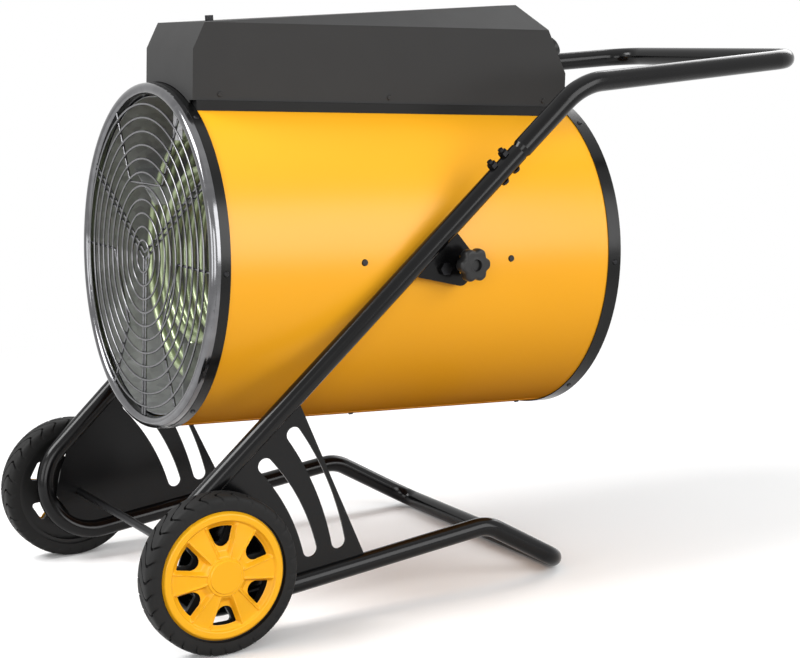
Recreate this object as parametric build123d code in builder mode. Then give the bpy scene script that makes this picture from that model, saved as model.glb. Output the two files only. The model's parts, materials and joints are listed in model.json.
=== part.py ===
"""Forced air heater: an electric drum heater that tilts between the sides of a two-wheeled trolley.

Millimetres, +Z up. X runs along the trolley: the warm air leaves towards -X and the push handle
is at +X. The origin is on the ground, in the middle of the footprint. Left is -Y, right is +Y.
The heater is drawn level about its own pivot, and is tipped to its resting angle when it is kept.
"""
import os
from math import cos, degrees, pi, radians, sin, sqrt, tan

from build123d import *

os.makedirs("parts", exist_ok=True)

# ---------------------------------------------------------------- driving sizes: trolley
wheel_radius = 111.0            # tyre, outside
tyre_width = 42.0
tyre_height = 20.0              # tyre section, tread to bead
axle_radius = 6.0
tube_radius = 14.0              # side frame and foot
tube_wall = 2.0
handle_tube_radius = 15.0
drum_side_gap = 12.06           # tilt plate to the drum's casing
frame_splay = 4.0               # degrees, each side leans outwards
lower_tube_height = 50.0        # height at which the frame's base width is measured
lower_tube_slope = 6.2          # degrees, rising to the rear
lower_tube_drop = 5.0           # the lower tube at the axle, below lower_tube_height
diagonal_slope = 41.3           # degrees
pivot_under_tube = 57.72        # heater's pivot below the diagonal's centre line
u_bend_radius = 78.0
u_bend_ahead = 55.55            # foremost point of the U-bend's centre line, ahead of the axle
foot_bend_from_axle = 455.0
foot_corner_from_axle = 590.0
foot_bend_radius = 60.0
foot_corner_radius = 38.0
joint_behind_pivot = 116.0      # where handle and side tube meet
bend_behind_joint = 106.0       # handle's bend
handle_bend_radius = 105.0
handle_reach = 1062.0           # axle to the centre of the grip bar
grip_rise = 20.25               # grip bar above the handle's bend
handle_half_width = 228.0       # at the grip bar
handle_corner_radius = 55.0
neck_insert = 62.0              # handle neck inside the side tube
bolt_radius = 4.0
bolt_spacing = 24.0
first_bolt_from_joint = 20.0
plate_thickness = 3.0
slot_width = 22.0
knob_radius = 25.0
knob_stud_radius = 4.0
plate_bite = 2.5                # the tilt plate reaches this far into the tube's flank
plate_top = 9.5                 # tilt plate, from the pivot: where its top meets the tube
plate_shoulder = (46.0, 20.0)
plate_toe = (38.0, -31.0)
plate_heel = 68.0
clamp_reach = 30.0              # pivot to clamp stud
clamp_angle = 11.0              # degrees above level, as it stands
tilt_up = 24.0                  # degrees of tilt from where it stands, outlet upwards
tilt_down = 12.0
slot_play = 0.4
pivot_bolt_radius = 6.0
pivot_head_across = 17.0
pivot_head_height = 7.0
pivot_spacer_radius = 11.0
clamp_spacer_radius = 9.0
knob_neck_radius = 10.0
knob_neck_length = 20.0
knob_lobe_radius = 7.5
knob_lobes = 6
knob_depth = 20.0
knob_edge = 2.5
knob_recess_radius = 8.0
knob_recess_depth = 5.0
knob_neck_flare = 8.0           # degrees
neck_play = 0.1
neck_taper = 8.0
bolt_head_radius = 7.5
bolt_head_height = 4.0
bolt_head_taper = 20.0          # degrees
bolt_tail = 5.0
nut_across_flats = 13.0
nut_height = 6.5
wheel_gap = 2.5                 # tyre to the leaning side tube
tyre_shoulder = 9.0
hub_radius = 20.0
hub_reach = 12.0                # hub inside the tyre's inner face
rim_wall = 6.0
rim_start = 5.0
web_start = 15.0
web_end = 21.0
cover_depth = 6.0
cover_inset = 2.5
cover_wall = 3.0
cap_radius = 24.0
cap_height = 12.0
window_inner = 43.0
window_outer = 70.0
window_width = 36.0
window_slant = 65.0
window_corner = 4.5
window_count = 6
window_clear = 4.5              # creases of the cover from the windows' edges
cover_lip = 5.0                 # raised band round the cover: height and width
cover_dish = 2.0                # cap's foot and spokes' ends above the cover's back
cap_draft = 1.0
axle_end = 41.0                 # axle beyond the tyre's inner face
spacer_gap = 1.0                # axle spacer to gusset plate
spacer_radius = 11.0
axle_cap_radius = 10.0
gusset_top_x = 140.0            # from the axle: where the plate leaves the diagonal
gusset_foot_x = 252.0           # and the lower tube
gusset_bend_shares = ((0.36, 0.55), (0.52, 0.0))    # corners in the bend, shares of its radius
gusset_slots = ((92.0, 160.0), (136.0, 205.0))      # top and bottom of each slot, from the axle
slot_top_gap = 52.0             # slot end below the diagonal tube
slot_bottom_gap = 44.0          # slot end above the lower tube
slot_bow = 9.0

# ---------------------------------------------------------------- driving sizes: heater
pivot_height = 487.0
outlet_tilt = 3.6               # degrees, outlet up, as it stands in use
drum_radius = 249.0
casing_sheet = 1.2
drum_front = 338.0              # pivot to the front edge of the casing
drum_rear = 315.0               # pivot to the rear edge of the casing
trim_sheet = 1.5
front_trim_width = 14.0
front_trim_proud = 2.0          # trims past the casing's edges
rear_trim_proud = 3.0
rear_trim_width = 22.0
rear_flange = 15.0              # rear trim turned inwards
rim_stand = 1.0                 # bright rim round the outlet, outside the casing
rim_width = 17.0
rim_sheet = 1.2
bead_stand = 5.0                # bead's middle in front of the trim
ring_wire_radius = 1.6
spoke_wire_radius = 1.9
ring_count = 11
ring_first_radius = 23.5
ring_edge_gap = 13.2            # outermost ring wire inside the spokes' ends
spoke_pair_gap = 9.0
inlet_ring_count = 9
liner_gap = 18.0                # liner inside the casing
liner_sheet = 1.0
liner_length = 368.0
liner_setback = 16.0            # liner behind the rim's crown line
tab_count = 12
coil_tube_radius = 5.75
coil_gap = 45.0                 # outer coils inside the liner
coil_set_gap = 61.0             # inner coils inside the outer ones
coil_pitch = 17.0
coil_turns = 2
coil_depth = 62.0               # first turn behind the casing's front edge
coil_group_step = 42.0
outer_coil_count = 3
inner_coil_count = 2
comb_count = 3
comb_sheet = 2.0
fan_gap = 53.0                  # blades' tips inside the casing
fan_hub_radius = 42.0
fan_depth = 44.0
fan_from_pivot = 44.0           # front of the fan hub
blade_count = 5
shaft_radius = 6.0
motor_radius = 62.0
motor_length = 105.0
hood_front = 331.0              # pivot to the front face of the control box
hood_rear = 290.0
hood_left = 125.0               # sides of the control box from the drum's centre plane
hood_right = 45.0
hood_sheet = 1.5
front_fold_rise = 50.0          # heights of the control box above the drum's top
roof_front_rise = 87.0
roof_rear_rise = 96.0
ridge_rise = 134.0
rear_fold_rise = 31.0
foot_rise = 13.15               # near side's foot above the casing beside it
hood_front_slope = 17.0         # how far the sloping front leans back
hood_rear_slope = 34.0
ridge_inset = 65.0
knob_dial_radius = 19.0
knob_dial_height = 20.0
spindle_radius = 3.0
reset_button_radius = 6.0
reset_travel = 3.0
seam_screw_places = (-39.0, 261.0)
rivet_places = (-121.0, 122.0)
screw_rise = 55.0               # degrees from the level trim screws to the next ones
rivet_height = 10.0
rivet_head = 5.0
screw_radius = 2.0
screw_head = 4.0
screw_height = 2.0
head_taper = 25.0               # degrees
trim_screw_length = 5.0
rivet_length = 4.0
hood_screw_length = 4.5
hole_depth = 9.0                # how deep a screw hole's cutter goes
stud_inside = 12.0              # pivot bolts and clamp studs inside the casing
doubler_sheet = 3.0
doubler_half = 45.0
rim_lip = 13.0
spoke_bend = 6.0
inlet_first_radius = 26.0
inlet_bar_count = 6
inlet_bar_inset = 4.0           # bars inside the first ring
inlet_bar_gap = 3.0             # bars' ends from the casing
inlet_edge_gap = 1.0            # last ring inside the rear trim's flange
tab_width = 14.0
tab_length = 14.0
tab_gap = 2.0                   # tabs behind the rim's lip
tail_rise = 24.0                # element tails outside their turns
tail_first = 4.0                # degrees from the top to the first tails
tail_step = 8.0
bend_run = 34.0                 # length over which a tail bends into the turns
terminal_x = -130.0
terminal_plate_width = 180.0
terminal_plate_drop = 8.0       # terminal plate inside the inner coils
comb_first_angle = 30.0
bracket_x = -300.0
bracket_y = 0.0
bracket_width = 34.0
bracket_height = 62.0
sensor_x = -20.0
sensor_radius = 12.0
sensor_height = 9.0
blade_root_depth = 4.0          # blades inside the hub
blade_root_chord = 50.0
blade_root_angle = 50.0
blade_mid_chord = 78.0
blade_mid_angle = 65.0
blade_tip_chord = 104.0
blade_tip_angle = 72.0
blade_sheet = 3.0
blade_tip_gap = 8.0
shroud_margin = 12.0
motor_gap = 12.0                # fan hub to motor
motor_nose = 8.0
motor_nose_radius = 16.0
motor_bevel = 8.0
mount_depth = 14.0
mount_ring_wall = 4.0
mount_arm_count = 4
mount_arm_width = 16.0
base_sheet = 2.0
strip_width = 13.0
strip_reach = 2.0               # base outside the hood's sides
strip_drop = 30.0
upstand_height = 16.0
hood_screw_places = (-290.0, -20.0, 250.0)
near_screw_rise = 9.0           # hood screws above the strip and above the base
far_screw_rise = 7.0
panel_rise = 32.0               # controls above the panel's lower fold
dial_spacing = 96.0
spindle_length = 16.0
dial_skirt_share = 0.4          # skirt's part of the dial's height
dial_step = 3.0
dial_taper = 6.0                # degrees
pointer_width = 3.0
pointer_inset = 6.0
pointer_height = 3.0
reset_up = -14.0
reset_length = 14.0
reset_stand = 5.0
reset_body_width = 26.0
switch_clear = 1.0              # bores behind the spindles and the pushed button
switch_width = 42.0
switch_depth = 26.0
lamp_radius = 5.0
lamp_length = 12.0
lamp_spacing = 30.0
lamp_up = 40.0
lamp_bezel = 2.5
bezel_height = 2.0
lens_height = 3.0
lens_taper = 30.0               # degrees
hood_stud_x = -270.0
hood_stud_radius = 6.0
hood_stud_height = 8.0
tray_front = -60.0
tray_length = 260.0
tray_width = 110.0
tray_sheet = 2.0
contactor_start = 100.0         # from the tray's front
contactor_length = 45.0
contactor_width = 50.0
contactor_height = 55.0
contactor_pitch = 60.0
terminal_start = 12.0
terminal_length = 50.0
terminal_width = 70.0
terminal_height = 22.0
gland_y = -92.0
gland_drop = 21.0               # cable gland below the panel's lower fold
gland_radius = 12.0
gland_thread_radius = 8.5
gland_bore = 6.0
gland_length = 16.0
gland_inside = 9.0
gland_nut_inset = 1.0

# ---------------------------------------------------------------- clearances
seat = 0.3                      # air left between pieces that rest on each other
running = 0.05                  # radial clearance of a turning fit
weld = 0.3                      # overlap of wires that are welded where they cross
past = 5.0                      # how far a cutting body reaches past what it cuts

# ---------------------------------------------------------------- derived places
handle_end = handle_reach + handle_tube_radius
axle_x = -(handle_end - wheel_radius) / 2
splay = tan(radians(frame_splay))
lower_rise = tan(radians(lower_tube_slope))
diagonal_rise = tan(radians(diagonal_slope))
lower_height_at_axle = lower_tube_height - lower_tube_drop
u_bend_x = u_bend_radius - u_bend_ahead
lower_to_bend = u_bend_x * lower_rise + u_bend_radius / cos(radians(lower_tube_slope))
bend_to_diagonal = u_bend_radius / cos(radians(diagonal_slope)) - u_bend_x * diagonal_rise
diagonal_rise_at_axle = lower_height_at_axle + lower_to_bend + bend_to_diagonal
pivot_from_axle = (pivot_height + pivot_under_tube - diagonal_rise_at_axle) / diagonal_rise
joint_from_axle = pivot_from_axle + joint_behind_pivot
handle_bend_from_axle = joint_from_axle + bend_behind_joint
pivot_x = axle_x + pivot_from_axle
plate_inner = drum_radius + drum_side_gap
plate_outer = plate_inner + plate_thickness
half_width_at_pivot = plate_inner + tube_radius - plate_bite
frame_base_half_width = half_width_at_pivot - (pivot_height - lower_tube_height) * splay
rim_outer_radius = drum_radius + rim_stand
liner_radius = drum_radius - liner_gap
coil_radius = liner_radius - coil_gap
inner_coil_radius = coil_radius - coil_set_gap
fan_radius = drum_radius - fan_gap
hood_front_fold = drum_radius + front_fold_rise
hood_roof_front = drum_radius + roof_front_rise
hood_roof_rear = drum_radius + roof_rear_rise
hood_ridge_rear = drum_radius + ridge_rise
hood_rear_fold = drum_radius + rear_fold_rise
hood_foot = sqrt(drum_radius**2 - hood_left**2) + foot_rise
panel_height = hood_rear_fold + panel_rise
gland_z = hood_rear_fold - gland_drop
heater_place = Location((pivot_x, 0, pivot_height), (0, outlet_tilt, 0))


def side_y(height):
    """Distance of the side frame's centre plane from the middle of the trolley."""
    return frame_base_half_width + (height - lower_tube_height) * splay


def side_point(side, x_from_axle, height):
    """A point in one side frame's plane; side is -1 for left and 1 for right."""
    return Vector(axle_x + x_from_axle, side * side_y(height), height)


def bent_path(points, radii):
    """Straight runs through the points, with each inner corner rounded to its own radius."""
    with BuildLine() as path:
        start = Vector(points[0])
        for before, corner, after, radius in zip(points, points[1:], points[2:], radii):
            back = (Vector(before) - Vector(corner)).normalized()
            ahead = (Vector(after) - Vector(corner)).normalized()
            half_angle = radians(back.get_angle(ahead)) / 2
            reach = radius / tan(half_angle)
            centre = Vector(corner) + (back + ahead).normalized() * (radius / sin(half_angle))
            crown = centre + (Vector(corner) - centre).normalized() * radius
            arc_start = Vector(corner) + back * reach
            arc_end = Vector(corner) + ahead * reach
            Line(start, arc_start)
            ThreePointArc(arc_start, crown, arc_end)
            start = arc_end
        Line(start, Vector(points[-1]))
    return path.line


def tube_along(path, outer, inner=0.0):
    """A round tube or bar swept along a path."""
    with BuildPart() as tube:
        with BuildSketch(Plane(origin=path @ 0, z_dir=path % 0)):
            Circle(outer)
            if inner:
                Circle(inner, mode=Mode.SUBTRACT)
        sweep(path=path)
    return tube


def side_plane(side):
    """The leaning plane of one side frame: x to the rear, y up the side."""
    up = Vector(0, side * splay, 1).normalized()
    forward = Vector(1, 0, 0)
    return Plane(origin=side_point(side, 0, 0), x_dir=forward, z_dir=forward.cross(up))


def in_side_plane(x_from_axle, height):
    """Coordinates inside side_plane for a point given by its place and height."""
    return (x_from_axle, height / cos(radians(frame_splay)))


# ---------------------------------------------------------------- side frames and foot
meeting_x = (lower_height_at_axle - diagonal_rise_at_axle) / (diagonal_rise - lower_rise)
meeting_height = lower_height_at_axle + lower_rise * meeting_x


def diagonal_height(x_from_axle):
    return diagonal_rise_at_axle + diagonal_rise * x_from_axle


def lower_height(x_from_axle):
    return lower_height_at_axle + lower_rise * x_from_axle


joint_height = diagonal_height(joint_from_axle)
bend_height = diagonal_height(handle_bend_from_axle)
handle_grip_height = bend_height + grip_rise
foot_half_width = side_y(tube_radius)


def side_path(side):
    """Centre line of one bent side tube, from the handle joint down and back to the foot."""
    corner = Vector(axle_x + foot_corner_from_axle, side * foot_half_width, tube_radius)
    return bent_path(
        [
            side_point(side, joint_from_axle, joint_height),
            side_point(side, meeting_x, meeting_height),
            side_point(side, foot_bend_from_axle, lower_height(foot_bend_from_axle)),
            corner,
            corner - Vector(0, side * 2 * foot_corner_radius, 0),
        ],
        [u_bend_radius, foot_bend_radius, foot_corner_radius],
    )


def joint_axis(side):
    """Direction of the side tube's upper run, pointing up to the handle."""
    low = side_point(side, 0, diagonal_height(0))
    return (side_point(side, joint_from_axle, joint_height) - low).normalized()


def bolt_places(side):
    """Centres and direction of the two bolts that hold the handle in one side tube."""
    along = joint_axis(side)
    across = along.cross(side_plane(side).z_dir).normalized()
    if across.Z > 0:
        across = -across
    end = side_point(side, joint_from_axle, joint_height)
    return [
        (end - along * (first_bolt_from_joint + k * bolt_spacing), across) for k in range(2)
    ]


def bolt_bars(side, radius, reach):
    """Two round bars on the bolt axes of one side, used as bolts' shanks and to cut their holes."""
    with BuildPart() as bars:
        for centre, across in bolt_places(side):
            with BuildSketch(Plane(origin=centre - across * reach, z_dir=across)):
                Circle(radius)
            extrude(amount=2 * reach)
    return bars


def make_side_tube(side):
    path = side_path(side)
    with BuildPart() as tube:
        add(tube_along(path, tube_radius, tube_radius - tube_wall).part)
        add(bolt_bars(side, bolt_radius + seat / 2, 2 * tube_radius).part, mode=Mode.SUBTRACT)
    return tube


side_tube_left = make_side_tube(-1)
side_tube_right = make_side_tube(1)

crossbar_half = foot_half_width - 2 * foot_corner_radius
with BuildPart() as foot_crossbar:
    with BuildSketch(
        Plane(
            origin=(axle_x + foot_corner_from_axle, -crossbar_half, tube_radius), z_dir=(0, 1, 0)
        )
    ):
        Circle(tube_radius)
        Circle(tube_radius - tube_wall, mode=Mode.SUBTRACT)
    extrude(amount=2 * crossbar_half)

# ---------------------------------------------------------------- slotted gusset plates
def make_gusset(side):
    """Flat plate welded between the diagonal, the bend round the axle and the lower tube."""
    plane = side_plane(side)
    axle_hole = in_side_plane(0, wheel_radius)
    in_bend = [
        in_side_plane(-u_bend_radius * back, wheel_radius + u_bend_radius * up)
        for back, up in gusset_bend_shares
    ]
    with BuildPart() as plate:
        with BuildSketch(plane):
            with BuildLine():
                Polyline(
                    in_side_plane(gusset_top_x, diagonal_height(gusset_top_x)),
                    in_side_plane(0, diagonal_height(0)),
                    *in_bend,
                    in_side_plane(0, lower_height(0)),
                    in_side_plane(u_bend_radius, lower_height(u_bend_radius)),
                    in_side_plane(gusset_foot_x, lower_height(gusset_foot_x)),
                    close=True,
                )
            make_face()
            for top_x, bottom_x in gusset_slots:
                top = Vector(*in_side_plane(top_x, diagonal_height(top_x) - slot_top_gap))
                bottom = Vector(*in_side_plane(bottom_x, lower_height(bottom_x) + slot_bottom_gap))
                run = (bottom - top).normalized()
                middle = (top + bottom) * 0.5 + Vector(-run.Y, run.X) * slot_bow
                SlotArc(
                    Edge.make_three_point_arc(top, middle, bottom),
                    slot_width,
                    mode=Mode.SUBTRACT,
                )
            with Locations(axle_hole):
                Circle(axle_radius + running, mode=Mode.SUBTRACT)
        extrude(amount=plate_thickness / 2, both=True)
        add(tube_along(side_path(side), tube_radius).part, mode=Mode.SUBTRACT)
        keep_solid = plate.part.solids().sort_by(SortBy.VOLUME)[-1]
    with BuildPart() as gusset:
        add(keep_solid)
        with BuildSketch(Plane(origin=(axle_x, 0, wheel_radius), z_dir=(0, 1, 0))):
            Circle(axle_radius + running)
        extrude(amount=2 * frame_base_half_width, both=True, mode=Mode.SUBTRACT)
    return gusset


gusset_left = make_gusset(-1)
gusset_right = make_gusset(1)


# ---------------------------------------------------------------- tilt plates beside the drum


def on_tube(x):
    """Point of the diagonal's centre line beside the pivot, in pivot_plane."""
    return (x, pivot_under_tube + diagonal_rise * x)


def pivot_plane(side, distance):
    """Vertical plane beside the pivot: x to the rear, y up, at a distance from the middle."""
    return Plane(
        origin=(pivot_x, side * distance, pivot_height), x_dir=(1, 0, 0), z_dir=(0, -1, 0)
    )


def around_pivot(angle):
    """Where the clamp stud stands in pivot_plane at an angle above level."""
    return (clamp_reach * cos(radians(angle)), clamp_reach * sin(radians(angle)))


def make_tilt_plate(side):
    """Plate welded to the diagonal tube, with the pivot hole and the clamp's curved slot."""
    with BuildPart() as plate:
        with BuildSketch(pivot_plane(side, (plate_inner + plate_outer) / 2)) as outline:
            with BuildLine():
                Polyline(
                    on_tube(plate_top), plate_shoulder, plate_toe, on_tube(-plate_heel), close=True
                )
            make_face()
            for corner, radius in ((plate_toe, 14.0), (plate_shoulder, 6.0)):
                fillet(outline.vertices().sort_by_distance((*corner, 0))[0], radius)
            Circle(pivot_bolt_radius + running, mode=Mode.SUBTRACT)
            uncut_area = outline.sketch.area
            slot_line = Edge.make_three_point_arc(
                around_pivot(clamp_angle - tilt_up),
                around_pivot(clamp_angle),
                around_pivot(clamp_angle + tilt_down),
            )
            SlotArc(slot_line, 2 * (knob_stud_radius + slot_play), mode=Mode.SUBTRACT)
            print("clamp slot area", round(uncut_area - outline.sketch.area, 1))
        extrude(amount=plate_thickness / 2, both=True)
        add(tube_along(side_path(side), tube_radius).part, mode=Mode.SUBTRACT)
    return plate


tilt_plate_left = make_tilt_plate(-1)
tilt_plate_right = make_tilt_plate(1)

# ---------------------------------------------------------------- push handle
neck_radius = tube_radius - tube_wall - neck_play
handle_bore = handle_tube_radius - tube_wall


def handle_corners(side):
    """End of the neck's taper, the bend and the grip's corner on one side."""
    joint = side_point(side, joint_from_axle, joint_height)
    bend = side_point(side, handle_bend_from_axle, bend_height)
    grip = Vector(axle_x + handle_reach, side * handle_half_width, handle_grip_height)
    return [joint + joint_axis(side) * neck_taper, bend, grip]


def make_neck(side):
    """Swaged end of the handle that slides into the side tube."""
    joint = side_point(side, joint_from_axle, joint_height)
    along = joint_axis(side)
    outwards = side_plane(side).z_dir
    with BuildPart() as neck:
        with BuildSketch(Plane(origin=joint, x_dir=outwards, z_dir=outwards.cross(along))):
            with BuildLine():
                Polyline(
                    (neck_radius - tube_wall, -neck_insert),
                    (neck_radius, -neck_insert),
                    (neck_radius, 0),
                    (handle_tube_radius, neck_taper),
                    (handle_bore, neck_taper),
                    (neck_radius - tube_wall, 0),
                    close=True,
                )
            make_face()
        revolve(axis=Axis(joint, along))
        add(bolt_bars(side, bolt_radius + seat / 2, 2 * tube_radius).part, mode=Mode.SUBTRACT)
    return neck


handle_path = bent_path(
    handle_corners(-1) + handle_corners(1)[::-1],
    [handle_bend_radius, handle_corner_radius, handle_corner_radius, handle_bend_radius],
)
with BuildPart() as handle:
    add(tube_along(handle_path, handle_tube_radius, handle_bore).part)
    add(make_neck(-1).part)
    add(make_neck(1).part)

# ---------------------------------------------------------------- handle bolts and nuts
with BuildPart() as handle_bolts:
    for side in (-1, 1):
        for centre, across in bolt_places(side):
            with BuildSketch(Plane(origin=centre + across * tube_radius, z_dir=across)):
                Circle(bolt_head_radius)
            extrude(amount=bolt_head_height, taper=bolt_head_taper)
            with BuildSketch(Plane(origin=centre + across * tube_radius, z_dir=-across)):
                Circle(bolt_radius)
            extrude(amount=2 * tube_radius + nut_height + bolt_tail)

with BuildPart() as handle_nuts:
    for side in (-1, 1):
        for centre, across in bolt_places(side):
            with BuildSketch(Plane(origin=centre - across * tube_radius, z_dir=-across)):
                RegularPolygon(nut_across_flats / 2, 6, major_radius=False)
                Circle(bolt_radius, mode=Mode.SUBTRACT)
            extrude(amount=nut_height)

# ---------------------------------------------------------------- wheels and axle
wheel_inner = side_y(2 * wheel_radius) + tube_radius + wheel_gap
rim_radius = wheel_radius - tyre_height
axle_line = Axis((axle_x, 0, wheel_radius), (0, 1, 0))
hub_inner = wheel_inner - hub_reach
cover_back = tyre_width - cover_depth


def wheel_face(side, distance):
    """Plane square to the axle, at a distance outside the tyre's inner face, facing outwards."""
    return Plane(
        origin=(axle_x, side * (wheel_inner + distance), wheel_radius),
        x_dir=(1, 0, 0),
        z_dir=(0, side, 0),
    )


def wheel_section(side):
    """Plane through the axle: x up from its centre line, y outwards from the inner face."""
    return Plane(
        origin=(axle_x, side * wheel_inner, wheel_radius), x_dir=(0, 0, 1), z_dir=(-side, 0, 0)
    )


def collar(side, inner, outer, start, end):
    """A ring round the axle between two distances from the tyre's inner face."""
    with BuildPart() as made:
        with BuildSketch(wheel_face(side, start)):
            Circle(outer)
            Circle(inner, mode=Mode.SUBTRACT)
        extrude(amount=end - start)
    return made


def wheel_windows(side):
    """Six rounded windows as prisms right through the wheel."""
    with BuildPart() as prisms:
        with BuildSketch(wheel_face(side, 0)) as outline:
            with PolarLocations((window_inner + window_outer) / 2, window_count, 30):
                Trapezoid(window_width, window_outer - window_inner, window_slant, rotation=90)
            fillet(outline.vertices(), window_corner)
        extrude(amount=2 * tyre_width)
    return prisms


def make_tyre(side):
    with BuildPart() as tyre:
        with BuildSketch(wheel_section(side)) as profile:
            with Locations((wheel_radius - tyre_height / 2, tyre_width / 2)):
                Rectangle(tyre_height, tyre_width)
            fillet(profile.vertices().group_by(Axis.X)[-1], tyre_shoulder)
        revolve(axis=axle_line)
    return tyre


def make_wheel_core(side):
    """Hub, windowed web and rim."""
    bore = axle_radius + running
    with BuildPart() as core:
        add(collar(side, bore, hub_radius, -hub_reach, cover_back - seat).part)
        add(collar(side, hub_radius - 1, rim_radius - rim_wall / 2, web_start, web_end).part)
        add(collar(side, rim_radius - rim_wall, rim_radius, rim_start, cover_back - seat).part)
        add(wheel_windows(side).part, mode=Mode.SUBTRACT)
    return core


def make_hub_cover(side):
    """Dished cover with six windows and a raised cap over the axle's end."""
    edge = rim_radius - cover_inset
    back, top = cover_back, cover_back + cap_height
    web_inner, web_outer = window_inner - window_clear, window_outer + window_clear
    face = [
        (edge, back), (edge, back + cover_lip / 2), (edge - cover_lip, back + cover_lip),
        (web_outer, back + cover_dish), (web_inner, back),
        (cap_radius + cap_draft, back + cover_dish), (cap_radius - cap_draft, top - cover_dish),
        (cap_radius - cover_lip, top), (0, top),
    ]
    rear = [
        (0, top - cover_wall), (cap_radius - cover_lip - cap_draft, top - cover_wall),
        (cap_radius - cover_wall - cap_draft, top - cover_wall - cover_dish),
        (cap_radius - cover_wall + cap_draft, back - cap_draft), (web_inner, back - cover_wall),
        (web_outer, back - cap_draft), (edge - cover_lip, back + cap_draft),
        (edge - cover_wall, back),
    ]
    with BuildPart() as cover:
        with BuildSketch(wheel_section(side)):
            with BuildLine():
                Polyline(*face, *rear, close=True)
            make_face()
        revolve(axis=axle_line)
        add(wheel_windows(side).part, mode=Mode.SUBTRACT)
    return cover


with BuildPart() as axle:
    with BuildSketch(wheel_face(-1, axle_end)):
        Circle(axle_radius)
    extrude(amount=-2 * (wheel_inner + axle_end))

with BuildPart() as axle_spacers:
    for side in (-1, 1):
        spacer_start = side_y(wheel_radius) + plate_thickness / 2 + spacer_gap - wheel_inner
        add(collar(side, axle_radius, spacer_radius, spacer_start, -hub_reach - seat).part)

with BuildPart() as axle_caps:
    for side in (-1, 1):
        add(collar(side, axle_radius, axle_cap_radius, cover_back + seat, axle_end).part)

tyre_left, tyre_right = make_tyre(-1), make_tyre(1)
wheel_core_left, wheel_core_right = make_wheel_core(-1), make_wheel_core(1)
hub_cover_left, hub_cover_right = make_hub_cover(-1), make_hub_cover(1)


# ================================================================ heater, level about its pivot
def axial(x):
    """Plane square to the drum's axis: sketch x is the heater's y, sketch y is its z."""
    return Plane(origin=(x, 0, 0), x_dir=(0, 1, 0), z_dir=(1, 0, 0))


def radial_plane(x, angle, radius):
    """Plane facing outwards from the drum's axis, at an angle from +Y towards +Z."""
    way = Vector(0, cos(radians(angle)), sin(radians(angle)))
    return Plane(origin=Vector(x, 0, 0) + way * radius, x_dir=(1, 0, 0), z_dir=way)


def lathe(outline):
    """A ring turned about the drum's axis from an outline of (x, radius) points."""
    with BuildPart() as made:
        with BuildSketch(Plane.XZ):
            with BuildLine():
                Polyline(*outline, close=True)
            make_face()
        revolve(axis=Axis.X)
    return made


def band(start, end, inner, outer):
    """A plain ring about the drum's axis."""
    return lathe([(start, inner), (start, outer), (end, outer), (end, inner)])


def pegs(planes, radius, start, end):
    """A round bar on each plane's axis, between two heights above the plane."""
    with BuildPart() as made:
        for plane in planes:
            with BuildSketch(plane.offset(start)):
                Circle(radius)
            extrude(amount=end - start)
    return made


def fasteners(planes, head_radius, head_height, shank_radius, shank_length):
    """A headed fastener on each plane, its head outside and its shank behind."""
    with BuildPart() as made:
        for plane in planes:
            with BuildSketch(plane):
                Circle(head_radius)
            extrude(amount=head_height, taper=head_taper)
            with BuildSketch(plane):
                Circle(shank_radius)
            extrude(amount=-shank_length)
    return made


casing_bore = drum_radius - casing_sheet
trim_bore = drum_radius + seat
trim_outer = trim_bore + trim_sheet
front_trim_start = -drum_front - front_trim_proud
rear_trim_end = drum_rear + rear_trim_proud
rear_trim_start = rear_trim_end - rear_trim_width
stud_angle = radians(clamp_angle + outlet_tilt)
stud_x = clamp_reach * cos(stud_angle)
stud_z = clamp_reach * sin(stud_angle)


def side_planes(x, z, distance):
    """Planes on both sides of the drum, facing outwards."""
    return [
        Plane(origin=(x, side * distance, z), x_dir=(1, 0, 0), z_dir=(0, side, 0))
        for side in (-1, 1)
    ]


# ---------------------------------------------------------------- casing and its fasteners
screw_angles = [0, screw_rise, 180 - screw_rise, 180, 180 + screw_rise, 360 - screw_rise]
front_screws = [
    radial_plane(front_trim_start + front_trim_width / 2, angle, trim_outer)
    for angle in screw_angles
]
rear_screws = [
    radial_plane(rear_trim_start + rear_trim_width / 2, angle, trim_outer)
    for angle in screw_angles
]
seam_screws = [radial_plane(x, 255, drum_radius) for x in seam_screw_places]
rivet_angle = degrees(rivet_height / drum_radius)
rivets = [
    radial_plane(x, angle, drum_radius)
    for x in rivet_places
    for angle in (rivet_angle, 180 - rivet_angle)
]
screw_hole = screw_radius + seat / 2
trim_holes = pegs(front_screws + rear_screws, screw_hole, -hole_depth, past).part
casing_holes = pegs(rivets + seam_screws, screw_hole, -hole_depth, past).part
side_cut = (drum_radius - 2 * stud_inside, 2 * drum_radius)
side_holes = [
    pegs(side_planes(0, 0, 0), pivot_bolt_radius + running, *side_cut).part,
    pegs(side_planes(stud_x, stud_z, 0), knob_stud_radius + running, *side_cut).part,
]

with BuildPart() as outer_casing:
    add(band(-drum_front, drum_rear, casing_bore, drum_radius).part)
    for holes in [trim_holes, casing_holes] + side_holes:
        add(holes, mode=Mode.SUBTRACT)

with BuildPart() as casing_screws:
    add(
        fasteners(
            front_screws + rear_screws + seam_screws,
            screw_head,
            screw_height,
            screw_radius,
            trim_screw_length,
        ).part
    )

with BuildPart() as casing_rivets:
    add(fasteners(rivets, rivet_head, screw_height, screw_radius, rivet_length).part)

with BuildPart() as side_doublers:
    doubler_outer = casing_bore - seat
    doubler_reach = stud_x + doubler_half
    add(band(-doubler_half, doubler_reach, doubler_outer - doubler_sheet, doubler_outer).part)
    with BuildSketch(axial(-doubler_half - past)):
        Rectangle(3 * drum_radius, 2 * doubler_half)
    extrude(amount=doubler_half + doubler_reach + 2 * past, mode=Mode.INTERSECT)
    for holes in side_holes:
        add(holes, mode=Mode.SUBTRACT)

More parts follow.
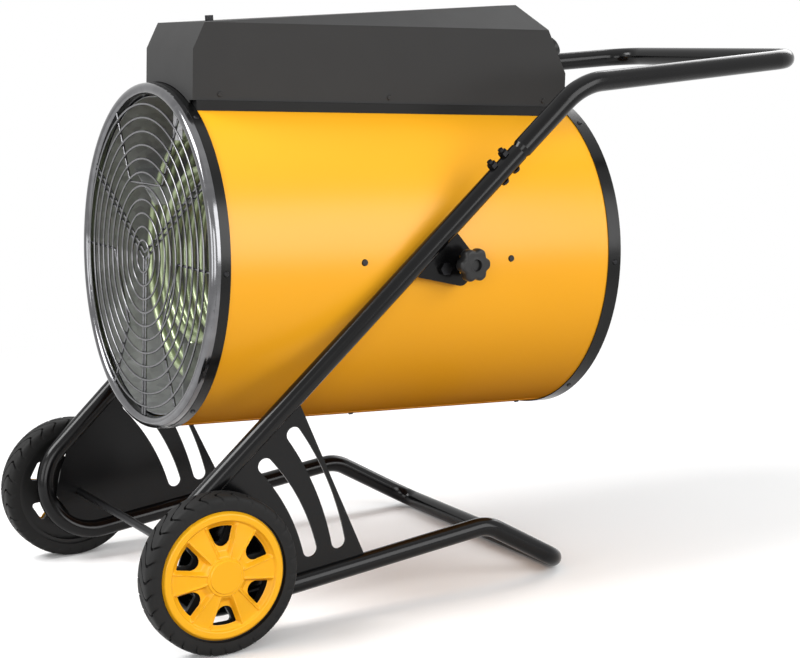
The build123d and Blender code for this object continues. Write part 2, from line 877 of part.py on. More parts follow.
with BuildPart() as front_trim_ring:
    add(band(front_trim_start, front_trim_start + front_trim_width, trim_bore, trim_outer).part)
    add(trim_holes, mode=Mode.SUBTRACT)

with BuildPart() as rear_trim_ring:
    add(
        lathe(
            [
                (rear_trim_start, trim_bore), (rear_trim_start, trim_outer),
                (rear_trim_end, trim_outer), (rear_trim_end, trim_outer - rear_flange),
                (rear_trim_end - trim_sheet, trim_outer - rear_flange),
                (rear_trim_end - trim_sheet, trim_bore),
            ]
        ).part
    )
    add(trim_holes, mode=Mode.SUBTRACT)

# ---------------------------------------------------------------- pivots and clamp knobs
with BuildPart() as pivot_bolts:
    shank = (drum_radius - stud_inside, plate_outer + seat)
    add(pegs(side_planes(0, 0, 0), pivot_bolt_radius, *shank).part)
    for plane in side_planes(0, 0, plate_outer + seat):
        with BuildSketch(plane):
            RegularPolygon(pivot_head_across / 2, 6, major_radius=False)
        extrude(amount=pivot_head_height)

with BuildPart() as spacer_bushes:
    bush = (drum_radius - stud_inside, plate_inner - seat)
    add(pegs(side_planes(0, 0, 0), pivot_spacer_radius, *bush).part)
    add(pegs(side_planes(stud_x, stud_z, 0), clamp_spacer_radius, *bush).part)
    add(band(-doubler_half, doubler_reach, 0, drum_radius + seat).part, mode=Mode.SUBTRACT)
    for holes in side_holes:
        add(holes, mode=Mode.SUBTRACT)


def make_clamp_knob(plane):
    """Star knob with a flared neck and a stud, drawn from its plane at the drum's middle."""
    neck_start = plate_outer + seat
    head_start = neck_start + knob_neck_length
    with BuildPart() as knob:
        with BuildSketch(plane.offset(drum_radius - stud_inside)):
            Circle(knob_stud_radius)
        extrude(amount=neck_start - drum_radius + stud_inside)
        with BuildSketch(plane.offset(neck_start)):
            Circle(knob_neck_radius)
        extrude(amount=knob_neck_length, taper=-knob_neck_flare)
        with BuildSketch(plane.offset(head_start)):
            Circle(knob_radius - knob_lobe_radius + 1)
            with PolarLocations(knob_radius - knob_lobe_radius, knob_lobes):
                Circle(knob_lobe_radius)
        extrude(amount=knob_depth)
        fillet(knob.faces().filter_by(Axis.Y).group_by(SortBy.AREA)[-1].edges(), knob_edge)
        with BuildSketch(plane.offset(head_start + knob_depth)):
            Circle(knob_recess_radius)
        extrude(amount=-knob_recess_depth, mode=Mode.SUBTRACT)
    return knob


clamp_knob_left, clamp_knob_right = [
    make_clamp_knob(plane) for plane in side_planes(stud_x, stud_z, 0)
]

# ---------------------------------------------------------------- outlet rim and wire grille
bead_radius = rim_width / 2
bead_x = front_trim_start - bead_stand
bead_centre = rim_outer_radius - bead_radius
rim_bore = rim_outer_radius - rim_width
crown_x = bead_x - bead_radius
with BuildPart() as outlet_rim:
    with BuildSketch(Plane.XZ):
        with BuildLine():
            Line((front_trim_start, rim_outer_radius), (bead_x, rim_outer_radius))
            ThreePointArc((bead_x, rim_outer_radius), (crown_x, bead_centre), (bead_x, rim_bore))
            Polyline(
                (bead_x, rim_bore), (bead_x + rim_lip, rim_bore),
                (bead_x + rim_lip, rim_bore + rim_sheet), (bead_x, rim_bore + rim_sheet),
            )
            ThreePointArc(
                (bead_x, rim_bore + rim_sheet),
                (crown_x + rim_sheet, bead_centre),
                (bead_x, rim_outer_radius - rim_sheet),
            )
            Polyline(
                (bead_x, rim_outer_radius - rim_sheet),
                (front_trim_start, rim_outer_radius - rim_sheet),
                (front_trim_start, rim_outer_radius),
            )
        make_face()
    revolve(axis=Axis.X)


def ring_wires(x, radii, wire):
    """Round wire rings about the drum's axis."""
    with BuildPart() as rings:
        for radius in radii:
            with BuildSketch(Plane.XZ):
                with Locations((x, radius)):
                    Circle(wire)
            revolve(axis=Axis.X)
    return rings


def polar(x, radius, angle):
    """Point at a distance from the drum's axis, at an angle from +Y towards +Z."""
    return Vector(x, radius * cos(radians(angle)), radius * sin(radians(angle)))


grille_x = crown_x + ring_wire_radius + seat
spoke_x = grille_x + ring_wire_radius + spoke_wire_radius - weld
spoke_end = rim_bore - seat
ring_spacing = (spoke_end - ring_edge_gap - ring_first_radius) / (ring_count - 1)
outlet_rings = [ring_first_radius + k * ring_spacing for k in range(ring_count)]


def paired_spoke(angle):
    """A wire that comes in along one leg, bends round the centre and leaves 120 degrees on."""
    aside = spoke_pair_gap / 2
    reach = sqrt(spoke_end**2 - aside**2)
    legs = []
    for turn, step in ((angle, 1), (angle + 120, -1)):
        out = polar(0, 1, turn)
        across = polar(0, 1, turn + 90) * aside * step
        legs.append((Vector(spoke_x, 0, 0) + across, out, reach))
    (start, out, reach), (end, out_end, _) = legs
    corner = Vector(spoke_x, 0, 0) + polar(0, aside / sin(radians(60)), angle + 60)
    return bent_path([start + out * reach, corner, end + out_end * reach], [spoke_bend])


def u_wire(angle):
    """A wire whose two legs point to the rim 60 degrees apart, joined along a chord."""
    inner = outlet_rings[ring_count // 2]
    corners = [
        polar(spoke_x, spoke_end, angle - 30), polar(spoke_x, inner, angle - 30),
        polar(spoke_x, inner, angle + 30), polar(spoke_x, spoke_end, angle + 30),
    ]
    return bent_path(corners, [spoke_bend, spoke_bend])


with BuildPart() as outlet_grille:
    add(ring_wires(grille_x, outlet_rings, ring_wire_radius).part)
    for k in range(3):
        add(tube_along(paired_spoke(30 + 120 * k), spoke_wire_radius).part)
        add(tube_along(u_wire(90 + 120 * k), spoke_wire_radius).part)

inlet_bar_x = rear_trim_end - trim_sheet - spoke_wire_radius - weld
inlet_ring_x = inlet_bar_x + spoke_wire_radius + ring_wire_radius - weld
inlet_ring_end = trim_outer - rear_flange - ring_wire_radius - inlet_edge_gap
inlet_step = (inlet_ring_end - inlet_first_radius) / (inlet_ring_count - 1)
inlet_rings = [inlet_first_radius + k * inlet_step for k in range(inlet_ring_count)]
with BuildPart() as inlet_grille:
    add(ring_wires(inlet_ring_x, inlet_rings, ring_wire_radius).part)
    for k in range(inlet_bar_count):
        angle = k * 360 / inlet_bar_count
        start = polar(inlet_bar_x, inlet_first_radius - inlet_bar_inset, angle)
        end = polar(inlet_bar_x, casing_bore - inlet_bar_gap, angle)
        with BuildSketch(Plane(origin=start, z_dir=(end - start).normalized())):
            Circle(spoke_wire_radius)
        extrude(amount=(end - start).length)

# ---------------------------------------------------------------- liner inside the casing
liner_start = crown_x + liner_setback
liner_bore = liner_radius - liner_sheet
with BuildPart() as inner_liner:
    add(band(liner_start, liner_start + liner_length, liner_bore, liner_radius).part)

tab_start = bead_x + rim_lip + tab_gap
with BuildPart() as liner_tabs:
    with BuildSketch(axial(tab_start)):
        Circle(casing_bore - seat)
        Circle(liner_radius + seat, mode=Mode.SUBTRACT)
        with PolarLocations((casing_bore + liner_radius) / 2, tab_count, 15):
            Rectangle(3 * (casing_bore - liner_radius), tab_width, mode=Mode.INTERSECT)
    extrude(amount=tab_length)

# ---------------------------------------------------------------- heating elements
coil_front = -drum_front + coil_depth


def biarc(start, start_way, end, end_way):
    """Two arcs that leave start along one direction and reach end along another."""
    gap = end - start
    lean = gap.dot(start_way + end_way)
    spread = 2 * (1 - start_way.dot(end_way))
    reach = (sqrt(lean**2 + spread * gap.dot(gap)) - lean) / spread
    first_knee = start + start_way * reach
    last_knee = end - end_way * reach
    middle = (first_knee + last_knee) * 0.5
    TangentArc(start, middle, tangent=start_way)
    TangentArc(middle, end, tangent=(last_knee - first_knee).normalized())


class Coil:
    """One heating element: straight tails at the terminal plate and turns about the drum's axis.

    Tail angles lie on either side of the top, and the turns start and end a bend further round.
    """

    def __init__(self, radius, start_x, tail_angle):
        self.radius = radius
        self.start_x = start_x
        self.tail_radius = radius + tail_rise
        self.tail_angle = tail_angle
        self.first_angle = 90 + tail_angle + degrees(bend_run / radius)
        self.last_angle = 90 + 360 * coil_turns - tail_angle - degrees(bend_run / radius)

    def x_at(self, angle):
        return self.start_x + coil_pitch * (angle - self.first_angle) / 360

    def point(self, angle):
        return polar(self.x_at(angle), self.radius, angle)

    def way(self, angle):
        climb = Vector(coil_pitch / (2 * pi * self.radius), 0, 0)
        return (polar(0, 1, angle + 90) + climb).normalized()

    def path(self):
        steps = round((self.last_angle - self.first_angle) / 90)
        angles = [
            self.first_angle + k * (self.last_angle - self.first_angle) / steps
            for k in range(steps + 1)
        ]
        tails = [
            polar(x + bend_run, self.tail_radius, angle)
            for x, angle in (
                (self.x_at(angles[0]), 90 + self.tail_angle),
                (self.x_at(angles[-1]), 90 - self.tail_angle),
            )
        ]
        with BuildLine() as line:
            Line(Vector(terminal_x, tails[0].Y, tails[0].Z), tails[0])
            biarc(tails[0], Vector(-1, 0, 0), self.point(angles[0]), self.way(angles[0]))
            for before, after in zip(angles, angles[1:]):
                biarc(self.point(before), self.way(before), self.point(after), self.way(after))
            biarc(self.point(angles[-1]), self.way(angles[-1]), tails[1], Vector(1, 0, 0))
            Line(tails[1], Vector(terminal_x, tails[1].Y, tails[1].Z))
        return line.wire()

    def crossings(self, angle):
        """Places along x where the turns pass a direction."""
        passes = [angle + 360 * k for k in range(coil_turns + 2)]
        return [self.x_at(a) for a in passes if self.first_angle <= a <= self.last_angle]


def least_gap(path):
    """Smallest air gap between a wire's surface and itself, measured on points of its path."""
    count = round(path.length / 4)
    places = [path @ (k / count) for k in range(count + 1)]
    apart = round(10 * coil_tube_radius / 4)
    return min(
        (places[i] - places[j]).length
        for i in range(0, count + 1, 2)
        for j in range(i + apart, count + 1)
    ) - 2 * coil_tube_radius


outer_set = [
    Coil(coil_radius, coil_front + k * coil_group_step, tail_first + k * tail_step)
    for k in range(outer_coil_count)
]
inner_set = [
    Coil(inner_coil_radius, coil_front + k * coil_group_step, tail_first + k * tail_step)
    for k in range(inner_coil_count)
]
with BuildPart() as outer_coils:
    for coil in outer_set:
        add(tube_along(coil.path(), coil_tube_radius).part)

with BuildPart() as inner_coils:
    for coil in inner_set:
        add(tube_along(coil.path(), coil_tube_radius).part)

section = pi * coil_tube_radius**2
for coil in outer_set + inner_set:
    path = coil.path()
    print("coil", round(coil.radius), "length", round(path.length, 1),
          "least gap", round(least_gap(path), 2), "volume", round(section * path.length))
print("outer coils", round(outer_coils.part.volume), "inner coils",
      round(inner_coils.part.volume))

# ---------------------------------------------------------------- combs and terminal plate
comb_start = coil_front - 2 * coil_tube_radius
comb_end = outer_set[-1].x_at(outer_set[-1].last_angle) + 2 * coil_tube_radius
comb_inner = inner_coil_radius + coil_tube_radius + seat
comb_outer = liner_bore - seat
with BuildPart() as element_combs:
    for k in range(comb_count):
        angle = comb_first_angle + k * 360 / comb_count
        normal = polar(0, 1, angle + 90)
        with BuildSketch(Plane(origin=(0, 0, 0), x_dir=(1, 0, 0), z_dir=normal)):
            with Locations(((comb_start + comb_end) / 2, (comb_inner + comb_outer) / 2)):
                Rectangle(comb_end - comb_start, comb_outer - comb_inner)
            for coil in outer_set:
                with Locations(*[(x, coil_radius) for x in coil.crossings(angle)]):
                    Circle(coil_tube_radius + seat, mode=Mode.SUBTRACT)
        extrude(amount=comb_sheet / 2, both=True)

plate_foot = inner_coil_radius - terminal_plate_drop
with BuildPart() as element_end_plate:
    with BuildSketch(axial(terminal_x)):
        with Locations((0, (plate_foot + drum_radius) / 2)):
            Rectangle(terminal_plate_width, drum_radius - plate_foot)
        Circle(comb_outer, mode=Mode.INTERSECT)
    extrude(amount=comb_sheet)

with BuildPart() as element_bracket:
    with BuildSketch(axial(bracket_x)):
        with Locations((bracket_y, drum_radius - bracket_height / 2)):
            Rectangle(bracket_width, bracket_height + 2 * (drum_radius - comb_outer))
        Circle(comb_outer, mode=Mode.INTERSECT)
    extrude(amount=comb_sheet)

with BuildPart() as overheat_sensor:
    add(pegs([radial_plane(sensor_x, 90, comb_outer)], sensor_radius, -sensor_height, 0).part)

# ---------------------------------------------------------------- fan, shaft and motor
hub_end = fan_from_pivot + fan_depth
motor_start = hub_end + motor_gap
with BuildPart() as fan_blade:
    for radius, chord, angle in (
        (fan_hub_radius - blade_root_depth, blade_root_chord, blade_root_angle),
        ((fan_hub_radius + fan_radius) / 2, blade_mid_chord, blade_mid_angle),
        (fan_radius, blade_tip_chord, blade_tip_angle),
    ):
        with BuildSketch(radial_plane(fan_from_pivot + fan_depth / 2, 90, radius)):
            Rectangle(blade_sheet, chord, rotation=-angle)
    loft()

with BuildPart() as fan_impeller:
    add(band(fan_from_pivot, hub_end, shaft_radius + running, fan_hub_radius).part)
    for k in range(blade_count):
        add(fan_blade.part.rotate(Axis.X, k * 360 / blade_count))
    bore_cut = band(fan_from_pivot - past, hub_end + past, 0, shaft_radius + running)
    add(bore_cut.part, mode=Mode.SUBTRACT)

shaft_end = motor_start + motor_length / 2
with BuildPart() as motor_shaft:
    add(pegs([axial(0)], shaft_radius, fan_from_pivot + 4, shaft_end).part)

with BuildPart() as fan_motor:
    add(
        lathe(
            [
                (motor_start - motor_nose, 0), (motor_start - motor_nose, motor_nose_radius),
                (motor_start, motor_nose_radius), (motor_start, motor_radius - motor_bevel),
                (motor_start + motor_bevel, motor_radius),
                (motor_start + motor_length - motor_bevel, motor_radius),
                (motor_start + motor_length, motor_radius - motor_bevel),
                (motor_start + motor_length, 0),
            ]
        ).part
    )
    add(pegs([axial(0)], shaft_radius + running, 0, shaft_end + past).part, mode=Mode.SUBTRACT)

mount_start = motor_start + (motor_length - mount_depth) / 2
with BuildPart() as motor_mount:
    with BuildSketch(axial(mount_start)):
        Circle(motor_radius + mount_ring_wall)
        with PolarLocations((motor_radius + drum_radius) / 2, mount_arm_count, 45):
            Rectangle(drum_radius - motor_radius, mount_arm_width)
        Circle(casing_bore - seat, mode=Mode.INTERSECT)
        Circle(motor_radius + seat, mode=Mode.SUBTRACT)
    extrude(amount=mount_depth)

shroud_bore = fan_radius + blade_tip_gap
with BuildPart() as fan_shroud:
    shroud_start = fan_from_pivot - shroud_margin
    shroud_end = hub_end + shroud_margin
    add(
        lathe(
            [
                (shroud_start, shroud_bore), (shroud_start, shroud_bore + trim_sheet),
                (shroud_end - trim_sheet, shroud_bore + trim_sheet),
                (shroud_end - trim_sheet, casing_bore - seat), (shroud_end, casing_bore - seat),
                (shroud_end, shroud_bore),
            ]
        ).part
    )

# ---------------------------------------------------------------- control box on the drum
base_radius = drum_radius + seat + base_sheet
hood_width = hood_left + hood_right
hood_middle = (hood_right - hood_left) / 2
slope_run = hood_rear_slope / (hood_roof_rear - hood_rear_fold)
ridge_x = hood_rear - slope_run * (hood_ridge_rear - hood_rear_fold)
roof_front_x = -hood_front + hood_front_slope
upstand_inset = hood_sheet + seat
strip_inner = -hood_left - strip_reach + strip_width


def box_between(start, end):
    """A block between two opposite corners."""
    with BuildPart() as made:
        with BuildSketch(axial(start[0])):
            with Locations(((start[1] + end[1]) / 2, (start[2] + end[2]) / 2)):
                Rectangle(end[1] - start[1], end[2] - start[2])
        extrude(amount=end[0] - start[0])
    return made


near_screws = [
    Plane(origin=(x, -hood_left, hood_foot + near_screw_rise), x_dir=(1, 0, 0), z_dir=(0, -1, 0))
    for x in hood_screw_places
]
far_screws = [
    Plane(origin=(x, hood_right, base_radius + far_screw_rise), x_dir=(1, 0, 0), z_dir=(0, 1, 0))
    for x in hood_screw_places
]
hood_screw_holes = pegs(near_screws + far_screws, screw_hole, -past, past).part

base_front = front_trim_start + front_trim_width + seat
with BuildPart() as control_base:
    with BuildSketch(axial(base_front)):
        with Locations((hood_middle, base_radius / 2)):
            Rectangle(hood_width + 2 * strip_reach, base_radius)
        Circle(base_radius, mode=Mode.INTERSECT)
        with Locations((strip_inner - strip_width / 2, hood_foot - strip_drop / 2)):
            Rectangle(strip_width, strip_drop)
        with Locations((-hood_left + upstand_inset + base_sheet / 2, hood_foot)):
            Rectangle(base_sheet, 2 * upstand_height)
        with Locations((hood_right - upstand_inset - base_sheet / 2, base_radius)):
            Rectangle(base_sheet, 2 * upstand_height)
        Circle(drum_radius + seat, mode=Mode.SUBTRACT)
    extrude(amount=hood_rear - base_front)
    rear_wall_room = box_between(
        (hood_rear - upstand_inset, -hood_left, hood_foot + seat),
        (hood_rear + past, hood_right, 2 * drum_radius),
    )
    add(rear_wall_room.part, mode=Mode.SUBTRACT)
    add(hood_screw_holes, mode=Mode.SUBTRACT)

panel_normal = Vector(1, 0, slope_run).normalized()
panel = Plane(
    origin=(hood_rear - slope_run * (panel_height - hood_rear_fold), hood_middle, panel_height),
    x_dir=(0, 1, 0),
    z_dir=panel_normal,
)


def on_panel(across, up):
    """Plane on the sloping rear face, at a place across and up the slope."""
    return Plane(
        origin=panel.origin + panel.x_dir * across + panel.y_dir * up,
        x_dir=panel.x_dir,
        z_dir=panel.z_dir,
    )


selector_plane = on_panel(-dial_spacing / 2, 0)
thermostat_plane = on_panel(dial_spacing / 2, 0)
reset_plane = on_panel(0, reset_up)
lamp_planes = [on_panel(side * lamp_spacing / 2, lamp_up) for side in (-1, 1)]
gland_plane = Plane(origin=(hood_rear, gland_y, gland_z), x_dir=(0, 1, 0), z_dir=(1, 0, 0))

with BuildPart() as control_hood:
    with BuildSketch(Plane.XZ.offset(hood_left)):
        with BuildLine():
            Polyline(
                (-hood_front, 0), (-hood_front, hood_front_fold), (roof_front_x, hood_roof_front),
                (ridge_x, hood_ridge_rear), (hood_rear, hood_rear_fold), (hood_rear, 0),
                close=True,
            )
        make_face()
    extrude(amount=-hood_width)
    for side, edge in ((-1, -hood_left), (1, hood_right)):
        low_front = Vector(roof_front_x, edge, hood_roof_front)
        ridge_end = Vector(ridge_x, edge - side * ridge_inset, hood_ridge_rear)
        low_rear = Vector(hood_rear - hood_rear_slope, edge, hood_roof_rear)
        slope = (ridge_end - low_front).cross(low_rear - low_front)
        split(bisect_by=Plane(origin=low_front, z_dir=slope * side), keep=Keep.BOTTOM)
    offset(amount=-hood_sheet, openings=control_hood.faces().sort_by(Axis.Z)[0])
    drum_room = band(-hood_front - past, hood_rear + past, 0, base_radius + seat)
    strip_room = box_between(
        (-hood_front - past, -hood_left - past, 0),
        (hood_rear + past, strip_inner + seat, hood_foot + seat),
    )
    add([drum_room.part, strip_room.part], mode=Mode.SUBTRACT)
    add(hood_screw_holes, mode=Mode.SUBTRACT)
    for planes, radius in (
        ([selector_plane, thermostat_plane], spindle_radius + seat),
        ([reset_plane], reset_button_radius + seat),
        (lamp_planes, lamp_radius + seat),
        ([gland_plane], gland_thread_radius + seat),
    ):
        add(pegs(planes, radius, -2 * hood_sheet, past).part, mode=Mode.SUBTRACT)
print("hood solids", len(control_hood.part.solids()), "volume", round(control_hood.part.volume))

with BuildPart() as hood_screws:
    every_screw = near_screws + far_screws
    add(
        fasteners(
            every_screw, screw_head, screw_height, screw_radius, hood_screw_length
        ).part
    )

roof_rise = (hood_ridge_rear - hood_roof_front) / (ridge_x - roof_front_x)
stud_roof_z = hood_roof_front + roof_rise * (hood_stud_x - roof_front_x)
with BuildPart() as hood_stud:
    roof_way = Vector(-roof_rise, 0, 1).normalized()
    with BuildSketch(Plane(origin=(hood_stud_x, hood_middle, stud_roof_z), z_dir=roof_way)):
        Circle(hood_stud_radius)
    extrude(amount=hood_stud_height)

# ---------------------------------------------------------------- controls and what they work
behind = hood_sheet + seat


def make_dial(plane):
    """Dial with a raised pointer bar, on a spindle that enters the switch behind the panel."""
    skirt = knob_dial_height * dial_skirt_share
    with BuildPart() as dial:
        with BuildSketch(plane.offset(seat)):
            Circle(knob_dial_radius)
        extrude(amount=skirt)
        with BuildSketch(plane.offset(seat + skirt)):
            Circle(knob_dial_radius - dial_step)
        extrude(amount=knob_dial_height - skirt, taper=dial_taper)
        with BuildSketch(plane.offset(seat)):
            Circle(spindle_radius)
        extrude(amount=-spindle_length)
        with BuildSketch(plane.offset(seat + knob_dial_height)):
            Rectangle(pointer_width, 2 * (knob_dial_radius - pointer_inset))
        extrude(amount=pointer_height)
    return dial


heat_selector_knob = make_dial(selector_plane)
thermostat_knob = make_dial(thermostat_plane)

with BuildPart() as reset_button:
    add(pegs([reset_plane], reset_button_radius, -reset_length, reset_stand).part)

with BuildPart() as pilot_lamps:
    add(pegs(lamp_planes, lamp_radius, -lamp_length, 0).part)
    add(pegs(lamp_planes, lamp_radius + lamp_bezel, 0, bezel_height).part)
    for plane in lamp_planes:
        with BuildSketch(plane.offset(bezel_height)):
            Circle(lamp_radius)
        extrude(amount=lens_height, taper=lens_taper)

with BuildPart() as switch_bodies:
    for plane, width, bore, depth in (
        (selector_plane, switch_width, spindle_radius, spindle_length),
        (thermostat_plane, switch_width, spindle_radius, spindle_length),
        (reset_plane, reset_body_width, reset_button_radius, reset_length + reset_travel),
    ):
        with BuildSketch(plane.offset(-behind)):
            Rectangle(width, width)
        extrude(amount=-switch_depth)
        with BuildSketch(plane):
            Circle(bore + running)
        extrude(amount=-depth - switch_clear, mode=Mode.SUBTRACT)

tray_foot = base_radius + seat
device_foot = tray_foot + tray_sheet


def on_tray(start, length, width, foot, height):
    """A block on the tray, centred across it, from a distance behind the tray's front."""
    return box_between(
        (tray_front + start, hood_middle - width / 2, foot),
        (tray_front + start + length, hood_middle + width / 2, foot + height),
    )


with BuildPart() as control_tray:
    add(on_tray(0, tray_length, tray_width, tray_foot, tray_sheet).part)

with BuildPart() as contactors:
    for k in range(2):
        start = contactor_start + k * contactor_pitch
        block = on_tray(start, contactor_length, contactor_width, device_foot, contactor_height)
        add(block.part)

with BuildPart() as terminal_block:
    block = on_tray(terminal_start, terminal_length, terminal_width, device_foot, terminal_height)
    add(block.part)

with BuildPart() as cable_gland:
    add(pegs([gland_plane], gland_radius, 0, gland_length).part)
    add(pegs([gland_plane], gland_thread_radius, -gland_inside, 0).part)
    with BuildSketch(gland_plane.offset(-gland_inside)):
        RegularPolygon(gland_radius - gland_nut_inset, 6, major_radius=False)
    extrude(amount=gland_inside - hood_sheet)
    bore_cut = pegs([gland_plane], gland_bore, -gland_inside - past, gland_length + past)
    add(bore_cut.part, mode=Mode.SUBTRACT)

# ---------------------------------------------------------------- keep every piece
trolley_pieces = {
    "side_tube_left": side_tube_left, "side_tube_right": side_tube_right,
    "foot_crossbar": foot_crossbar, "gusset_left": gusset_left, "gusset_right": gusset_right,
    "tilt_plate_left": tilt_plate_left, "tilt_plate_right": tilt_plate_right,
    "handle": handle, "handle_bolts": handle_bolts, "handle_nuts": handle_nuts, "axle": axle,
    "axle_spacers": axle_spacers, "axle_caps": axle_caps,
    "tyre_left": tyre_left, "tyre_right": tyre_right,
    "wheel_core_left": wheel_core_left, "wheel_core_right": wheel_core_right,
    "hub_cover_left": hub_cover_left, "hub_cover_right": hub_cover_right,
}
heater_pieces = {
    "outer_casing": outer_casing, "casing_screws": casing_screws, "casing_rivets": casing_rivets,
    "side_doublers": side_doublers, "front_trim_ring": front_trim_ring,
    "rear_trim_ring": rear_trim_ring, "pivot_bolts": pivot_bolts, "spacer_bushes": spacer_bushes,
    "clamp_knob_left": clamp_knob_left, "clamp_knob_right": clamp_knob_right,
    "outlet_rim": outlet_rim, "outlet_grille": outlet_grille, "inlet_grille": inlet_grille,
    "inner_liner": inner_liner, "liner_tabs": liner_tabs, "outer_coils": outer_coils,
    "inner_coils": inner_coils, "element_combs": element_combs,
    "element_end_plate": element_end_plate, "element_bracket": element_bracket,
    "overheat_sensor": overheat_sensor, "fan_impeller": fan_impeller,
    "motor_shaft": motor_shaft, "fan_motor": fan_motor, "motor_mount": motor_mount,
    "fan_shroud": fan_shroud, "control_base": control_base, "control_hood": control_hood,
    "hood_screws": hood_screws, "hood_stud": hood_stud, "heat_selector_knob": heat_selector_knob,
    "thermostat_knob": thermostat_knob, "reset_button": reset_button, "pilot_lamps": pilot_lamps,
    "switch_bodies": switch_bodies, "control_tray": control_tray, "contactors": contactors,
    "terminal_block": terminal_block, "cable_gland": cable_gland,
}
for name, piece in trolley_pieces.items():
    piece.part.label = name
    export_step(piece.part, f"parts/{name}.step")
for name, piece in heater_pieces.items():
    placed = piece.part.moved(heater_place)
    placed.label = name
    export_step(placed, f"parts/{name}.step")
print("nodes", len(trolley_pieces) + len(heater_pieces))
print("pivot", round(pivot_x, 2), pivot_height, "axle", axle_x, "plate", round(plate_inner, 2))
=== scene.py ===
# %% [markdown]
# # A forced air heater on its trolley
#
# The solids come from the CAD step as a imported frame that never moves. This lesson dresses them:
# every solid gets a finish made of nodes, and pieces whose real shape is finer than a plain solid
# are built again as surfaces worked out with numpy. Lengths are metres, +Z is up, and the warm
# air leaves towards -X.

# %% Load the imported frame
import json
from math import cos, pi, radians, sin

import bmesh
import bpy
import numpy as np
from mathutils import Matrix, Vector


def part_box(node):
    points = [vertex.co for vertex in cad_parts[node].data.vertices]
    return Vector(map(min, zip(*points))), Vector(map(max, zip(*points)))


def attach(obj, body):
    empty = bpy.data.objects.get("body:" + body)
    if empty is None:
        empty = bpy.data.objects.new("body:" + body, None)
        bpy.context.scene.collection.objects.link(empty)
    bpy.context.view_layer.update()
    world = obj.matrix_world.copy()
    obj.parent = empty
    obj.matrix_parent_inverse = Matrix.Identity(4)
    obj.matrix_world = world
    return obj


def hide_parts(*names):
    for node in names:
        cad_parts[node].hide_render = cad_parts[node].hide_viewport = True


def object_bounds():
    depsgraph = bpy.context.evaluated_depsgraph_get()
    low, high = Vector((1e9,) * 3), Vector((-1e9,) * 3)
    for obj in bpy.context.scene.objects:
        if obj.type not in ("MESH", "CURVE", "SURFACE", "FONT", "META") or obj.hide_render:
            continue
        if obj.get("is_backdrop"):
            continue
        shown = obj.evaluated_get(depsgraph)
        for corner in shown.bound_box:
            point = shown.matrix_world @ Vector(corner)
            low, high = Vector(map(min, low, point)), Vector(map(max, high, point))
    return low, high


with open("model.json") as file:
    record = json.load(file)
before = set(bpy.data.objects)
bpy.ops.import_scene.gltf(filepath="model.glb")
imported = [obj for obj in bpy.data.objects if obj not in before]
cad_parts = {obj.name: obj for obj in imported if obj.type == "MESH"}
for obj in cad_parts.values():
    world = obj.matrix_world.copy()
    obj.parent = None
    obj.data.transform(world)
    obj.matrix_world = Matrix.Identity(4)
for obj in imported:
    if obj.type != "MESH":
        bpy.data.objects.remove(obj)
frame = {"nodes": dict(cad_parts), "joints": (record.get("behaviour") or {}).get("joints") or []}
cad_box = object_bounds()
nodes = frame["nodes"]
joints = {joint["name"]: joint for joint in frame["joints"]}

# %% [markdown]
# ## A place for each piece
#
# The drum hangs in the trolley with its outlet a few degrees up, and the dials sit on a sloping
# panel. Writing points straight in the shared frame would fill the script with sines. A small
# class holds an origin and three directions instead, so that each shape is written in its own
# simple coordinates and placed once.


# %% Places and what the solids measure
class Place:
    """An origin and three unit directions in the shared frame."""

    def __init__(self, origin, first, second, third):
        self.origin = np.array(origin, float)
        self.ways = np.array([first, second, third], float)

    def at(self, x, y, z):
        """The origin, plus x, y and z times the three directions, for whole arrays at once."""
        return self.origin + np.stack(np.broadcast_arrays(x, y, z), axis=-1) @ self.ways

    def turned(self, along, radius, angle):
        """Distance along the first direction, and radius and angle about it."""
        return self.at(along, radius * np.cos(angle), radius * np.sin(angle))

    def inside(self, points):
        """Shared-frame points in this place's own coordinates."""
        return (points - self.origin) @ self.ways.T


def corners_of(node):
    """All vertices of a CAD node, in metres in the shared frame."""
    mesh = nodes[node].data
    flat = np.empty(len(mesh.vertices) * 3, np.float32)
    mesh.vertices.foreach_get("co", flat)
    return flat.reshape(-1, 3).astype(float)


def turned_extent(node, place):
    """Start, end, least and greatest radius of a node about a place's first direction."""
    x, y, z = place.inside(corners_of(node)).T
    radius = np.hypot(y, z)
    return x.min(), x.max(), radius.min(), radius.max()


drum_axis = np.array(joints["fan_spin"]["axis"], float)
across = np.array([0.0, 1.0, 0.0])
drum = Place(joints["heater_tilt"]["pos_m"], drum_axis, across, np.cross(drum_axis, across))
casing_start, casing_end, _, casing_radius = turned_extent("outer_casing", drum)
print("drum radius", round(casing_radius, 4), "length", round(casing_end - casing_start, 4))

# %% [markdown]
# ## Surfaces from grids
#
# Nearly every new piece is a grid of points: rows one way, columns the other. Neighbours are
# joined by quads, a closed way joins its last line to its first, and rows that shrink to one
# point close a pole once doubled points are merged. Building whole arrays is quick, and the
# formula of each shape stays readable.


# %% Meshes from grids of points
MERGE = 2e-6


def grid_quads(rows, columns, wrap_rows=False, wrap_columns=False):
    """Each quad joins a grid point to the next ones along both ways of the grid."""
    index = np.arange(rows * columns).reshape(rows, columns)
    if wrap_rows:
        index = np.concatenate([index, index[:1]])
    if wrap_columns:
        index = np.concatenate([index, index[:, :1]], axis=1)
    around = [index[:-1, :-1], index[1:, :-1], index[1:, 1:], index[:-1, 1:]]
    return np.stack(around, axis=-1).reshape(-1, 4)


